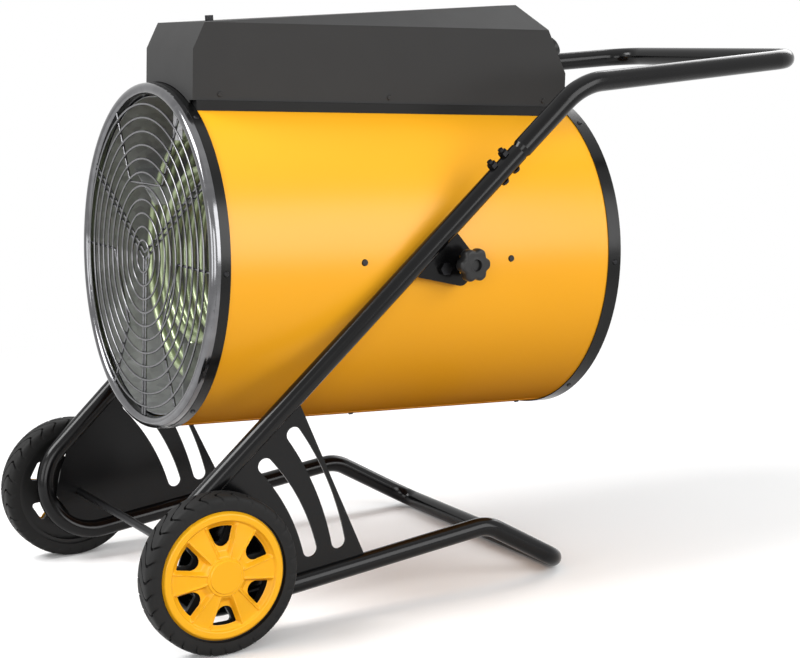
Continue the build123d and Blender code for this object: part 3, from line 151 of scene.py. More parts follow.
def mesh_from_grids(name, grids):
    """One mesh from several (points, wrap_rows, wrap_columns) grids."""
    points, quads, used = [], [], 0
    for grid, *wraps in grids:
        rows, columns = grid.shape[:2]
        quads.append(grid_quads(rows, columns, *wraps) + used)
        points.append(grid.reshape(-1, 3))
        used += rows * columns
    mesh = bpy.data.meshes.new(name)
    mesh.from_pydata(np.concatenate(points), [], np.concatenate(quads).tolist())
    return mesh


def tidy(mesh):
    """Merges doubled points and turns the faces outwards."""
    work = bmesh.new()
    work.from_mesh(mesh)
    bmesh.ops.remove_doubles(work, verts=work.verts, dist=MERGE)
    bmesh.ops.dissolve_degenerate(work, edges=work.edges, dist=MERGE / 2)
    bmesh.ops.recalc_face_normals(work, faces=work.faces)
    work.to_mesh(mesh)
    work.free()


print("3 rows of 4 points are joined by", len(grid_quads(3, 4)), "quads")

# %% [markdown]
# A mesh becomes a piece once its modifiers are baked in and it has a finish, a body to ride on
# and the solids that it stands for. One function does all of this for every piece, so that
# nothing is forgotten, and prints how many triangles the piece took.


# %% From a mesh to a piece
def settle(piece, *modifiers):
    """Adds modifiers, given as (type, settings), and bakes them into the piece's mesh."""
    for kind, settings in modifiers:
        modifier = piece.modifiers.new(kind.title(), kind)
        for key, value in settings.items():
            setattr(modifier, key, value)
    graph = bpy.context.evaluated_depsgraph_get()
    baked = bpy.data.meshes.new_from_object(
        piece.evaluated_get(graph), preserve_all_data_layers=True, depsgraph=graph
    )
    piece.modifiers.clear()
    piece.data = baked
    baked.name = piece.name


def new_piece(name, mesh, finish, body, replaced=(), sharp=35, modifiers=()):
    """Links a mesh as a finished piece that rides on a body and stands for the CAD nodes."""
    piece = bpy.data.objects.new(name, mesh)
    bpy.context.scene.collection.objects.link(piece)
    if modifiers:
        settle(piece, *modifiers)
    piece.data.materials.clear()
    piece.data.materials.append(finish.material)
    if sharp:
        piece.data.shade_smooth()
        piece.data.set_sharp_from_angle(angle=radians(sharp))
    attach(piece, body)
    if replaced:
        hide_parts(*replaced)
    triangles = sum(len(face.vertices) - 2 for face in piece.data.polygons)
    print(name, "on", body, "-", triangles, "triangles")


# %% [markdown]
# ## Finishes
#
# A material is a small program. Writing it as nodes and links hides the thought, so a class
# wraps a socket and turns `1 - mask` into the Math node that does it.


# %% Sums on shader sockets
class Value:
    """A socket of a finish; arithmetic on it adds Math nodes."""

    def __init__(self, finish, socket):
        self.finish = finish
        self.socket = socket

    def math(self, operation, first, second):
        """One Math node on two values or numbers."""
        return self.finish.node("ShaderNodeMath", {"operation": operation}, {0: first, 1: second})

    def __add__(self, other):
        return self.math("ADD", self, other)

    def __sub__(self, other):
        return self.math("SUBTRACT", self, other)

    def __rsub__(self, other):
        return self.math("SUBTRACT", other, self)

    def __mul__(self, other):
        return self.math("MULTIPLY", self, other)

    __radd__, __rmul__ = __add__, __mul__


def tint(code):
    """An sRGB colour such as '#F9BC37' as the linear red, green, blue and alpha of a shader."""
    shares = [int(code[k:k + 2], 16) / 255 for k in (1, 3, 5)]
    return (*[s / 12.92 if s < 0.04045 else ((s + 0.055) / 1.055) ** 2.4 for s in shares], 1.0)


print("a mid grey reflects", round(tint("#808080")[0], 3), "of the light")

# %% [markdown]
# A second class holds a material and adds any other node. What varies over a surface comes in as
# a value, and what is the same all over it is set straight on the shader's own socket.


# %% A finish and its nodes
class Finish:
    """A material for one of the object's own finishes."""

    def __init__(self, name, colour, roughness, **constants):
        self.material = bpy.data.materials.new(name)
        self.material.use_nodes = True
        self.tree = self.material.node_tree
        self.shader = self.tree.nodes["Principled BSDF"]
        self.set("Base Color", tint(colour))
        self.set("Roughness", roughness)
        for socket, value in constants.items():
            self.set(socket.replace("_", " ").title().replace("Ior", "IOR"), value)

    def plug(self, socket, value):
        """Links a Value to an input, or writes a constant on it."""
        if isinstance(value, Value):
            self.tree.links.new(value.socket, socket)
        else:
            socket.default_value = value

    def set(self, socket, value):
        """Sets one input of the shader."""
        self.plug(self.shader.inputs[socket], value)

    def node(self, kind, settings=None, inputs=None, output=0):
        """Any other node: its settings, then its inputs by name or number."""
        made = self.tree.nodes.new(kind)
        for key, value in (settings or {}).items():
            if key == "stops":
                ramp = made.color_ramp
                while len(ramp.elements) < len(value):
                    ramp.elements.new(1.0)
                for element, (place, colour) in zip(ramp.elements, value):
                    element.position, element.color = place, colour
            else:
                setattr(made, key, value)
        for key, value in (inputs or {}).items():
            self.plug(made.inputs[key], value)
        return Value(self, made.outputs[output])

    def coordinates(self, stretch=(1, 1, 1)):
        """Object coordinates, stretched or squeezed along the axes."""
        own = self.node("ShaderNodeTexCoord", output="Object")
        return self.node("ShaderNodeMapping", inputs={"Vector": own, "Scale": stretch})

    def noise(self, scale, detail=3.0, stretch=(1, 1, 1)):
        """Soft noise from 0 to 1; scale is in features per metre."""
        inputs = {"Vector": self.coordinates(stretch), "Scale": scale, "Detail": detail}
        return self.node("ShaderNodeTexNoise", inputs=inputs)

    def between(self, low, high, amount):
        """A colour between two colours."""
        inputs = {"Factor": amount, 6: tint(low), 7: tint(high)}
        return self.node("ShaderNodeMix", {"data_type": "RGBA"}, inputs, output=2)

    def bumps(self, height, depth):
        """Tilts the surface as if height, from 0 to 1, were depth metres high."""
        inputs = {"Height": height, "Distance": depth, "Strength": 1.0}
        self.set("Normal", self.node("ShaderNodeBump", inputs=inputs))


# %% [markdown]
# The casing is rolled steel sheet with a yellow stoved paint: even, glossy, with the faint
# waviness called orange peel. The tubes are coated black with a narrow shine, and the control
# box has a finer, duller grey coat. All are one recipe with other numbers. The casing's shine is
# a clear lacquer over it, which fades where the sheet is seen at a slant, because a plain gloss
# would turn the lower side of the drum grey.


# %% Paints
def paint(name, dark, light, roughness, shine, peel_size, peel_depth):
    """Stoved paint: a slow drift between two shades, and orange peel as bump."""
    finish = Finish(name, light, roughness, specular_ior_level=shine)
    finish.set("Base Color", finish.between(dark, light, finish.noise(4.0, 2.0)))
    finish.set("Roughness", roughness + 0.08 * (finish.noise(25.0) - 0.5))
    finish.bumps(finish.noise(1 / peel_size, 1.0), peel_depth)
    return finish


def lacquered(name, dark, light, roughness, lacquer, peel_size, peel_depth):
    """Paint under a clear lacquer, whose weight is the square of how straight it is seen."""
    finish = paint(name, dark, light, roughness, 0.0, peel_size, peel_depth)
    straight = 1 - finish.node("ShaderNodeLayerWeight", None, {"Blend": 0.5}, "Facing")
    finish.set("Coat Weight", lacquer * straight * straight)
    finish.set("Coat Roughness", roughness)
    return finish


casing_paint = lacquered("casing_paint", "#F8AE20", "#FCB427", 0.34, 0.95, 0.0018, 0.000010)
frame_coat = paint("frame_coat", "#070708", "#0B0B0C", 0.18, 0.22, 0.0009, 0.00001)
hood_coat = paint("hood_coat", "#303030", "#343434", 0.55, 0.15, 0.0005, 0.00002)
trim_enamel = paint("trim_enamel", "#090909", "#0D0D0D", 0.24, 0.22, 0.0012, 0.000008)
inlet_coat = paint("inlet_coat", "#0B0B0B", "#101010", 0.42, 0.15, 0.0008, 0.00001)
print("paints ready")

# %% [markdown]
# Metals come bright, brushed or spangled. The rolled rim has streaks where the others have soft
# spots, so its noise is drawn out along one axis. The liner is galvanised: its zinc has grown in
# flat crystals, which a Voronoi cell pattern gives.


# %% Metals
def metal(name, dark, light, roughness, streak, stretch=(1, 1, 1), depth=0.000004):
    """Bare metal whose colour, roughness and height vary in soft spots, or in streaks."""
    finish = Finish(name, light, roughness, metallic=1.0)
    streaks = finish.noise(streak, 4.0, stretch)
    finish.set("Base Color", finish.between(dark, light, streaks))
    finish.set("Roughness", roughness + 0.14 * (streaks - 0.5))
    finish.bumps(streaks, depth)
    return finish


def spangled(name, dark, light, roughness, crystal):
    """Galvanised sheet: flat zinc crystals of slightly different shade."""
    finish = Finish(name, light, roughness, metallic=0.35)
    inputs = {"Vector": finish.coordinates(), "Scale": 1 / crystal}
    cells = finish.node("ShaderNodeTexVoronoi", inputs=inputs, output="Color")
    shade = finish.node("ShaderNodeSeparateColor", inputs={0: cells})
    finish.set("Base Color", finish.between(dark, light, shade))
    finish.set("Roughness", roughness + 0.1 * (shade - 0.5))
    return finish


rim_steel = metal("rim_steel", "#5C5C5E", "#78787A", 0.13, 60.0, (0.3, 1, 1))
wire_steel = metal("wire_steel", "#5A5A5C", "#7C7C7E", 0.20, 300.0)
tab_steel = metal("tab_steel", "#B8B8BA", "#E2E2E4", 0.28, 120.0)
dark_zinc = metal("dark_zinc", "#252526", "#343436", 0.34, 400.0)
fan_metal = metal("fan_metal", "#9B9C9E", "#B9BABC", 0.42, 200.0)
liner_zinc = spangled("liner_zinc", "#8A8B8C", "#A3A4A5", 0.40, 0.012)
print("metals ready")

# %% [markdown]
# The heating elements are steel tubes whose skin has turned olive in the heat. Rubber and moulded
# plastic are not metals: rubber is dull with a fine grain, and the hub cover's yellow plastic is
# glossy from a polished mould.


# %% Heated sheath, rubber and plastics
def moulded(name, dark, light, roughness, grain, depth, **constants):
    """Moulded rubber or plastic: fine grain from the mould and a slight change of shade."""
    finish = Finish(name, light, roughness, **constants)
    finish.set("Base Color", finish.between(dark, light, finish.noise(18.0)))
    finish.set("Roughness", roughness + 0.1 * (finish.noise(60.0) - 0.5))
    finish.bumps(finish.noise(1 / grain, 2.0), depth)
    return finish


element_sheath = metal("element_sheath", "#8E9C72", "#C0CCA6", 0.30, 45.0)
element_sheath.set("Metallic", 0.45)
tyre_rubber = moulded(
    "tyre_rubber", "#111111", "#171717", 0.58, 0.0008, 0.00004, specular_ior_level=0.2
)
hub_plastic = moulded(
    "hub_plastic", "#F7B21A", "#FBBA20", 0.30, 0.004, 0.000003, specular_ior_level=0.3
)
black_plastic = moulded(
    "black_plastic", "#161616", "#1C1C1C", 0.40, 0.0007, 0.00003, specular_ior_level=0.3
)
device_plastic = moulded("device_plastic", "#B9B9B4", "#C6C6C1", 0.5, 0.001, 0.00001)
button_plastic = moulded("button_plastic", "#9E1A12", "#AF2016", 0.3, 0.002, 0.000005)
lamp_lens = moulded("lamp_lens", "#D9531A", "#E8702A", 0.12, 0.004, 0.000004, coat_weight=0.5)
print("plastics ready")

# %% [markdown]
# ## Finishes on the solids
#
# A solid whose shape is right only needs its finish. The names on the left are finishes, and
# each takes all the solids that have it on the real heater.

# %% Dress the solids
dressed = {
    frame_coat: "side_tube_left side_tube_right foot_crossbar gusset_left gusset_right "
    "tilt_plate_left tilt_plate_right handle",
    dark_zinc: "handle_bolts handle_nuts axle axle_spacers axle_caps casing_screws "
    "pivot_bolts spacer_bushes motor_shaft hood_stud casing_rivets",
    tyre_rubber: "tyre_left tyre_right",
    black_plastic: "wheel_core_left wheel_core_right clamp_knob_left clamp_knob_right "
    "heat_selector_knob thermostat_knob cable_gland",
    hub_plastic: "hub_cover_left hub_cover_right",
    casing_paint: "outer_casing",
    trim_enamel: "front_trim_ring rear_trim_ring",
    hood_coat: "control_hood hood_screws",
    rim_steel: "outlet_rim",
    wire_steel: "outlet_grille",
    liner_zinc: "inner_liner fan_shroud element_combs side_doublers control_tray motor_mount",
    tab_steel: "liner_tabs element_bracket element_end_plate overheat_sensor",
    element_sheath: "outer_coils inner_coils",
    inlet_coat: "inlet_grille control_base",
    fan_metal: "fan_impeller fan_motor",
    device_plastic: "switch_bodies contactors terminal_block",
    button_plastic: "reset_button",
    lamp_lens: "pilot_lamps",
}
for finish, names in dressed.items():
    for name in names.split():
        nodes[name].data.materials.clear()
        nodes[name].data.materials.append(finish.material)
print("dressed", sum(len(names.split()) for names in dressed.values()), "of", len(nodes))

# %% [markdown]
# ## Wheels
#
# The tyre is solid rubber with curved sipes: thin cuts that sweep from the middle of the tread
# over each shoulder. Cutting thirty grooves into a solid would be slow and ragged. Here the
# grid's columns follow the sweep of the cuts, so a groove is just a few columns pushed inwards.


# %% Wheel places and tyres
def wheel_place(side):
    """The wheel's centre in its inner face: outwards, to the rear, up."""
    x, _, z = joints["wheel_left_spin"]["pos_m"]
    low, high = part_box("tyre_left")
    inner_face = min(abs(low.y), abs(high.y))
    return Place((x, side * inner_face, z), (0, side, 0), (1, 0, 0), (0, 0, 1))


wheels = {"left": wheel_place(-1), "right": wheel_place(1)}
_, tyre_width, tyre_bead, tyre_radius = turned_extent("tyre_left", wheels["left"])
SECTION_POINTS = 61
SQUARENESS = 0.42
SIPES = 30
SIPE_SHARE = 0.17
SIPE_WALL = 0.02
SIPE_DEPTH = 0.0035
SIPE_SWEEP = radians(7.0)
SIPE_BEND = 0.9 * pi
SIPE_STARTS = (0.12, 0.30)
SIPE_STOPS = (0.006, 0.012)


def ease(low, high, value):
    """Nought below low, one above high, and a smooth S between them."""
    share = np.clip((value - low) / (high - low), 0, 1)
    return share * share * (3 - 2 * share)


def tyre_section():
    """Distance outwards and radius round the section: bead, side, shoulder, tread and back.

    It is half an ellipse whose cosine and sine are both raised to a power below one, which
    squares it: the shoulder stays round and the tread is nearly flat.
    """
    turn = np.linspace(0, pi, SECTION_POINTS)
    half = tyre_width / 2
    out = half - half * np.sign(np.cos(turn)) * np.abs(np.cos(turn)) ** SQUARENESS
    rise = np.sin(turn) ** SQUARENESS
    return out, tyre_bead + (tyre_radius - tyre_bead) * rise


def tyre_grid(place):
    """Rows go round the section, columns round the wheel; columns in a sipe are pushed in.

    Of the eight columns that repeat, five cross a sipe: its near edge, three on its floor and
    its far edge. A sipe deepens away from the tread's middle, runs out above the bead, and
    bends like a sine of the distance from the middle.
    """
    out, radius = tyre_section()
    floor_end = SIPE_SHARE - SIPE_WALL
    part = np.array([0, SIPE_WALL, SIPE_SHARE / 2, floor_end, SIPE_SHARE, 0.4, 0.6, 0.8])
    cut = np.array([0, 1, 1, 1, 0, 0, 0, 0.0])
    place_round = (np.arange(SIPES)[:, None] + part).ravel() * 2 * pi / SIPES
    cut_round = np.tile(cut, SIPES)
    off_middle = (out - tyre_width / 2) / (tyre_width / 2)
    sweep = SIPE_SWEEP * np.sin(off_middle * SIPE_BEND)
    stops = tyre_bead + np.array(SIPE_STOPS)
    depth = SIPE_DEPTH * ease(*SIPE_STARTS, np.abs(off_middle)) * ease(*stops, radius)
    angle = place_round[None, :] + sweep[:, None]
    dented = radius[:, None] - depth[:, None] * cut_round[None, :]
    return place.turned(out[:, None], dented, angle)


for side, place in wheels.items():
    outside = tyre_grid(place)
    bead = outside[[0, -1]]
    mesh = mesh_from_grids("tread_" + side, [(outside, False, True), (bead, False, True)])
    tidy(mesh)
    new_piece(
        "tread_" + side, mesh, tyre_rubber, "wheel_" + side, ["tyre_" + side]
    )

# %% [markdown]
# The hub cover is a moulded disc: six flared spokes with ribbed edges, between them six windows
# at the foot of valleys, a raised band round the outside and a cap in the middle. All of it
# follows from two distances: how far a point is from a window's edge, and how far it is from the
# edge of the valley round it. Both edges are wedges with a round end towards the hub.

# %% Hub cover: measures and windows
cover_start, _, _, cover_radius = turned_extent("hub_cover_left", wheels["left"])
WINDOWS = 6
COVER_SHEET = 0.0022
COVER_FOOT = cover_start + 0.003
HUB_RING = 0.0264
CAP_DISC = 0.0219
WINDOW_CENTRE = 0.056
WINDOW_OUTER = 0.0686
WINDOW_END = (0.0532, 0.0118)
WINDOW_FLARE = radians(20.0)
VALLEY_END = (0.0300, 0.0081)
VALLEY_FLARE = radians(19.5)
BAND_START = 0.0755
SPOKE_AT_HUB = 0.0080
SPOKE_DROP = 0.0050
RIB_RISE = 0.0018
VALLEY_DROP = 0.0058
BAND_RISE = 0.0034
EDGE_DROP = 0.0048
HUB_RISE = 0.0020
CAP_RISE = 0.0016
CORNER_SOFTNESS = 0.0006


def cone_distance(x, y, end, flare):
    """Signed distance from a wedge with a round end: a circle's distance behind the end, and
    the distance from the sloping side beyond it."""
    centre, radius = end
    ahead, aside = x - centre, np.abs(y)
    past_end = ahead * cos(flare) + aside * sin(flare)
    side_line = aside * cos(flare) - ahead * sin(flare)
    return np.where(past_end < 0, np.hypot(ahead, aside), side_line) - radius


def window_distance(radius, angle):
    """Signed distance from the window's edge: the wedge, cut off at its outer arc, with the
    corners rounded by a soft maximum."""
    x, y = radius * np.cos(angle), radius * np.sin(angle)
    wedge = cone_distance(x, y, WINDOW_END, WINDOW_FLARE)
    arc = radius - WINDOW_OUTER
    return CORNER_SOFTNESS * np.logaddexp(wedge / CORNER_SOFTNESS, arc / CORNER_SOFTNESS)


print("windows reach from", round(WINDOW_END[0] - WINDOW_END[1], 4), "to", WINDOW_OUTER, "m")

# %% [markdown]
# The height of the cover's face is a sum of smooth steps, so a spoke, a rib and the band run
# into each other as they do in a moulding, without a single cut or join.


# %% Hub cover: height
def cover_height(radius, angle):
    """Height of the cover's face. Spokes climb from the band to the hub, ribs run along their
    edges, valleys fall from the ribs to the windows, and the band and cap are raised.

    Each part is its height times S-shaped steps of the radius or of the distance into the
    valley, and the face is their sum.
    """
    x, y = radius * np.cos(angle), radius * np.sin(angle)
    valley = cone_distance(x, y, VALLEY_END, VALLEY_FLARE)
    spoke = SPOKE_AT_HUB - SPOKE_DROP * ease(HUB_RING, BAND_START, radius)
    rib = RIB_RISE * (ease(-0.0006, 0.0002, valley) - ease(0.0014, 0.0023, valley))
    rib = rib * (1 - ease(BAND_START - 0.003, BAND_START, radius))
    rib = rib * ease(HUB_RING - 0.001, HUB_RING + 0.002, radius)
    fall = VALLEY_DROP * ease(0.0, 0.0042, -valley) * ease(HUB_RING, HUB_RING + 0.010, radius)
    fall = fall * (1 - ease(WINDOW_OUTER - 0.001, BAND_START, radius))
    band = BAND_RISE * ease(BAND_START - 0.001, BAND_START + 0.0015, radius)
    edge = EDGE_DROP * ease(cover_radius - 0.005, cover_radius, radius) ** 2
    hub = HUB_RISE * (1 - ease(HUB_RING - 0.0006, HUB_RING + 0.0008, radius))
    cap = CAP_RISE * (1 - ease(CAP_DISC, CAP_DISC + 0.0011, radius))
    return COVER_FOOT + spoke + rib - fall + band - edge + hub + cap


cap_height = cover_height(0.0, 0.0) - COVER_FOOT
print("the cap stands", round(float(cap_height), 4), "m over the cover's foot")

# %% [markdown]
# One sixth of the cover is a rectangle in radius and angle with a hole in it. Rays from the
# middle of the window reach the window's edge at one end and the sector's edge at the other,
# which gives a clean grid from the hole outwards.

# %% Hub cover: one sector
HALVINGS = 40


def sector_rays(count):
    """Angles of rays in the flat sector, symmetric about its middle, its corners included."""
    half = radians(180 / WINDOWS) * WINDOW_CENTRE
    corner_out = np.arctan2(half, cover_radius - WINDOW_CENTRE)
    corner_in = np.arctan2(half, HUB_RING - WINDOW_CENTRE)
    upper = np.concatenate([
        np.linspace(0, corner_out, count // 4, endpoint=False),
        np.linspace(corner_out, corner_in, count // 2, endpoint=False),
        np.linspace(corner_in, pi, count // 4, endpoint=False),
    ])
    return np.concatenate([upper, [pi], -upper[:0:-1]]), half


def sector_grid(rays=96, steps=26, crowding=1.3):
    """Radius and angle of a sector's points: from the window's edge, found by halving, out to
    the sector's edge. The steps' shares are raised to a power, which crowds them at the window."""
    turn, half = sector_rays(rays)
    step_r, step_s = np.cos(turn), np.sin(turn)
    reach_r = np.where(step_r > 0, cover_radius - WINDOW_CENTRE, WINDOW_CENTRE - HUB_RING)
    with np.errstate(divide="ignore"):
        edge = np.minimum(reach_r / np.abs(step_r), half / np.abs(step_s))
    near, far = np.zeros_like(turn), edge.copy()
    for _ in range(HALVINGS):
        middle = (near + far) / 2
        radius = WINDOW_CENTRE + middle * step_r
        angle = middle * step_s / WINDOW_CENTRE
        outside = window_distance(radius, angle) > 0
        far = np.where(outside, middle, far)
        near = np.where(outside, near, middle)
    share = np.linspace(0, 1, steps)[:, None] ** crowding
    reach = near + (edge - near) * share
    return WINDOW_CENTRE + reach * step_r, reach * step_s / WINDOW_CENTRE


print("one sector has", sector_grid()[0].size, "points")

# %% [markdown]
# Six turned sectors, with a slice of the cap inside each, become one sheet when their doubled
# points are merged. Solidify then gives the sheet its thickness, windows' edges included.


# %% Hub cover: the whole
def hub_cover_grids(place):
    """Six turned copies of the sector, and of the cap's slice inside it, whose columns start
    where the sector's do and whose rings crowd together at the cap's edge and the hub's."""
    radius, angle = sector_grid()
    on_hub = np.abs(radius[-1] - HUB_RING) < MERGE
    slice_angle = np.sort(angle[-1][on_hub])
    rings = np.array([0, 0.006, 0.012, 0.018, 0.0205, CAP_DISC, 0.0224, 0.023, 0.024,
                      0.0249, 0.0255, HUB_RING - 0.0005, HUB_RING])[:, None]
    sector_height = cover_height(radius, angle)
    slice_height = cover_height(rings, 0 * slice_angle + pi / WINDOWS)
    grids = []
    for turn in (np.arange(WINDOWS) + 0.5) * 2 * pi / WINDOWS:
        grids.append((place.turned(sector_height, radius, angle + turn), False, True))
        grids.append((place.turned(slice_height, rings, slice_angle + turn), False, False))
    return grids


for side, place in wheels.items():
    mesh = mesh_from_grids("hub_cover_shell_" + side, hub_cover_grids(place))
    tidy(mesh)
    new_piece(
        "hub_cover_shell_" + side, mesh, hub_plastic, "wheel_" + side,
        ["hub_cover_" + side], sharp=50,
        modifiers=[("SOLIDIFY", {"thickness": COVER_SHEET, "offset": -1})],
    )

# %% [markdown]
# ## Star knobs
#
# Each side of the drum is clamped by a hand knob. Six lobes give the fingers a hold, a conical
# neck keeps the hand off the plate, and the centre is recessed. It is a turned profile whose
# radius also swells and shrinks with the angle, by an amount that each row of the profile sets.
# The dip between two lobes is a cosine raised to a power, which makes the lobes broad.


# %% Star knobs
KNOB_LOBES = 6
KNOB_TIP = 0.0249
KNOB_DIP = 0.0044
KNOB_BREADTH = 1.7
KNOB_HEAD = 0.020
KNOB_NECK = 0.020
KNOB_COLUMNS = 120


def knob_grid(place, start, end):
    """Rows of (distance, plain radius, lobe share), where the radius is the plain one plus the
    share times the lobed radius at that angle."""
    head = end - KNOB_HEAD
    neck = head - KNOB_NECK
    rows = np.array([
        (start, 0, 0), (start, 0.0038, 0), (neck, 0.0038, 0), (neck, 0.0092, 0),
        (neck + 0.0008, 0.0100, 0), (head - 0.006, 0.0118, 0), (head - 0.002, 0.0132, 0),
        (head, 0.0155, 0), (head + 0.0004, 0, 0.84), (head + 0.0016, 0, 0.93),
        (head + 0.004, 0, 0.98), (head + 0.008, 0, 1.0), (end - 0.007, 0, 1.0),
        (end - 0.0035, 0, 0.975), (end - 0.0015, 0, 0.925), (end - 0.0005, 0, 0.86),
        (end - 0.0002, 0, 0.78), (end - 0.0008, 0.0035, 0.45), (end - 0.0002, 0.0096, 0),
        (end - 0.0002, 0.0086, 0), (end - 0.0012, 0.0080, 0), (end - 0.0052, 0.0078, 0),
        (end - 0.0052, 0, 0),
    ])
    angle = np.linspace(0, 2 * pi, KNOB_COLUMNS, endpoint=False)
    valley = (1 - np.cos(KNOB_LOBES * angle)) / 2
    lobed = KNOB_TIP - KNOB_DIP * valley**KNOB_BREADTH
    radius = rows[:, 1:2] + rows[:, 2:3] * lobed[None, :]
    return place.turned(rows[:, 0:1], radius, angle[None, :])


for side, way in (("left", -1), ("right", 1)):
    low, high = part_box("clamp_knob_" + side)
    middle = (low + high) / 2
    reach = sorted(abs(y) for y in (low.y, high.y))
    place = Place((middle.x, 0, middle.z), (0, way, 0), (1, 0, 0), (0, 0, 1))
    mesh = mesh_from_grids("star_knob_" + side, [(knob_grid(place, *reach), False, True)])
    tidy(mesh)
    new_piece(
        "star_knob_" + side, mesh, black_plastic, "clamp_knob_" + side,
        ["clamp_knob_" + side], sharp=40,
    )

# %% [markdown]
# ## The rolled casing
#
# The casing is one sheet rolled round, and its ends lap under the drum. A plain tube would have
# no seam. This sheet goes round a little more than once, and dips by its own thickness just
# before it slides under its start.

# %% Rolled casing
SHEET = 0.0011
SKIN_GAP = 0.0001
SEAM_ANGLE = radians(252)
LAP = 0.014
JOGGLE = 0.012
CASING_COLUMNS, CASING_ROWS = 361, 9


def casing_grid():
    """Columns go round once and a lap more; the radius drops by one sheet before the lap."""
    joggle = JOGGLE / casing_radius
    even = np.linspace(0, 2 * pi + LAP / casing_radius, CASING_COLUMNS)
    turn = np.sort(np.append(even, 2 * pi - joggle * np.array([1, 0.7, 0.4, 0.1])))
    dip = (SHEET + SKIN_GAP) * ease(2 * pi - joggle, 2 * pi, turn)
    along = np.linspace(casing_start, casing_end, CASING_ROWS)[:, None]
    return drum.turned(along, casing_radius - SKIN_GAP - dip, SEAM_ANGLE + turn)


mesh = mesh_from_grids("casing_sheet", [(casing_grid(), False, False)])
tidy(mesh)
new_piece(
    "casing_sheet", mesh, casing_paint, "heater", ["outer_casing"],
    modifiers=[("SOLIDIFY", {"thickness": SHEET, "offset": -1})],
)

# %% [markdown]
# ## Folded and cut sheet
#
# Edges of bent sheet are never knife-sharp: the fold has a radius and the cut edge is rubbed
# down, and both catch a thin line of light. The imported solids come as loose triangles, so a copy
# is merged into clean faces first, and a small bevel then rounds its edges.


# %% Rounded copies of sheet pieces
FOLD_RADIUS = 0.0006
FLAT_WITHIN = radians(0.8)


def rounded_copy(name, node, finish, body, least_fold=30):
    """A merged copy of a CAD node, whose edges folded by more than least_fold degrees are
    rounded, standing for it."""
    mesh = nodes[node].data.copy()
    mesh.name = name
    work = bmesh.new()
    work.from_mesh(mesh)
    bmesh.ops.remove_doubles(work, verts=work.verts, dist=MERGE * 5)
    bmesh.ops.dissolve_limit(
        work, angle_limit=FLAT_WITHIN, verts=work.verts, edges=work.edges,
        use_dissolve_boundaries=False,
    )
    bmesh.ops.recalc_face_normals(work, faces=work.faces)
    work.to_mesh(mesh)
    work.free()
    mesh.shade_smooth()
    bevel = {
        "width": FOLD_RADIUS, "segments": 2, "limit_method": "ANGLE",
        "angle_limit": radians(least_fold), "use_clamp_overlap": True,
    }
    flat = {"mode": "FACE_AREA", "weight": 100, "keep_sharp": True}
    steps = [("BEVEL", bevel), ("WEIGHTED_NORMAL", flat)]
    new_piece(name, mesh, finish, body, [node], 0, steps)


rounded_copy("hood_folded", "control_hood", hood_coat, "heater", 25)
for side in ("left", "right"):
    for plate in ("gusset_", "tilt_plate_"):
        rounded_copy(
            plate + "edge_" + side, plate + side, frame_coat, "trolley"
        )

# %% [markdown]
# ## What the rear grille lets you see
#
# Behind the inlet's wires sits the motor. A real motor of this size is cast with thin cooling
# fins along its barrel. It is a turned profile again, with a fin pattern that each row takes a
# share of: the end caps take none.

# %% Finned motor
motor_start, motor_end, shaft_bore, motor_radius = turned_extent("fan_motor", drum)
FINS = 28
FIN_HEIGHT = 0.006
FIN_FLATNESS = 3
FIN_COLUMNS = 10


def motor_grid():
    """Rows of (distance, radius, fin share); the fins are a cosine pressed flat by a tanh."""
    nose, front, back = motor_start, motor_start + 0.008, motor_end
    barrel = motor_radius - FIN_HEIGHT
    rows = np.array([
        (nose + 0.020, 0, 0), (nose + 0.020, shaft_bore, 0), (nose, shaft_bore, 0),
        (nose, 0.0150, 0), (nose + 0.001, 0.0160, 0), (front, 0.0160, 0),
        (front, 0.0500, 0), (front + 0.003, 0.0535, 0), (front + 0.012, barrel, 0),
        (front + 0.013, barrel, 0), (front + 0.015, barrel, 1), (back - 0.015, barrel, 1),
        (back - 0.013, barrel, 0), (back - 0.012, barrel, 0), (back - 0.003, 0.0535, 0),
        (back, 0.0500, 0), (back, 0.0200, 0), (back - 0.003, 0.0180, 0), (back - 0.003, 0, 0),
    ])
    angle = np.linspace(0, 2 * pi, FINS * FIN_COLUMNS, endpoint=False)
    fin = FIN_HEIGHT * (0.5 + 0.5 * np.tanh(FIN_FLATNESS * np.cos(FINS * angle)))
    return drum.turned(rows[:, :1], rows[:, 1:2] + rows[:, 2:] * fin, angle)


mesh = mesh_from_grids("finned_motor", [(motor_grid(), False, True)])
tidy(mesh)
new_piece("finned_motor", mesh, fan_metal, "heater", ["fan_motor"])

# %% [markdown]
# ## The control panel
#
# The cable gland is gripped by hand when it is screwed down, so its nut is ridged. Its nut inside
# the box is six-sided: the radius of a hexagon is its inner radius over the cosine of the angle
# from the nearest flat. One turned profile has a column for each of the two patterns.

# %% Cable gland
GLAND_OUTSIDE = 0.016
GLAND_RIDGES = 24
GLAND_RIDGE = 0.0009
GLAND_COLUMNS = 144
gland_points = drum.inside(corners_of("cable_gland"))
gland_low, gland_high = gland_points.min(0), gland_points.max(0)
gland_middle = (gland_low + gland_high) / 2
gland_face = gland_high[0] - GLAND_OUTSIDE
gland = Place(drum.at(gland_face, gland_middle[1], gland_middle[2]), *drum.ways)
print("gland's face", round(gland_face, 4), "behind the pivot")


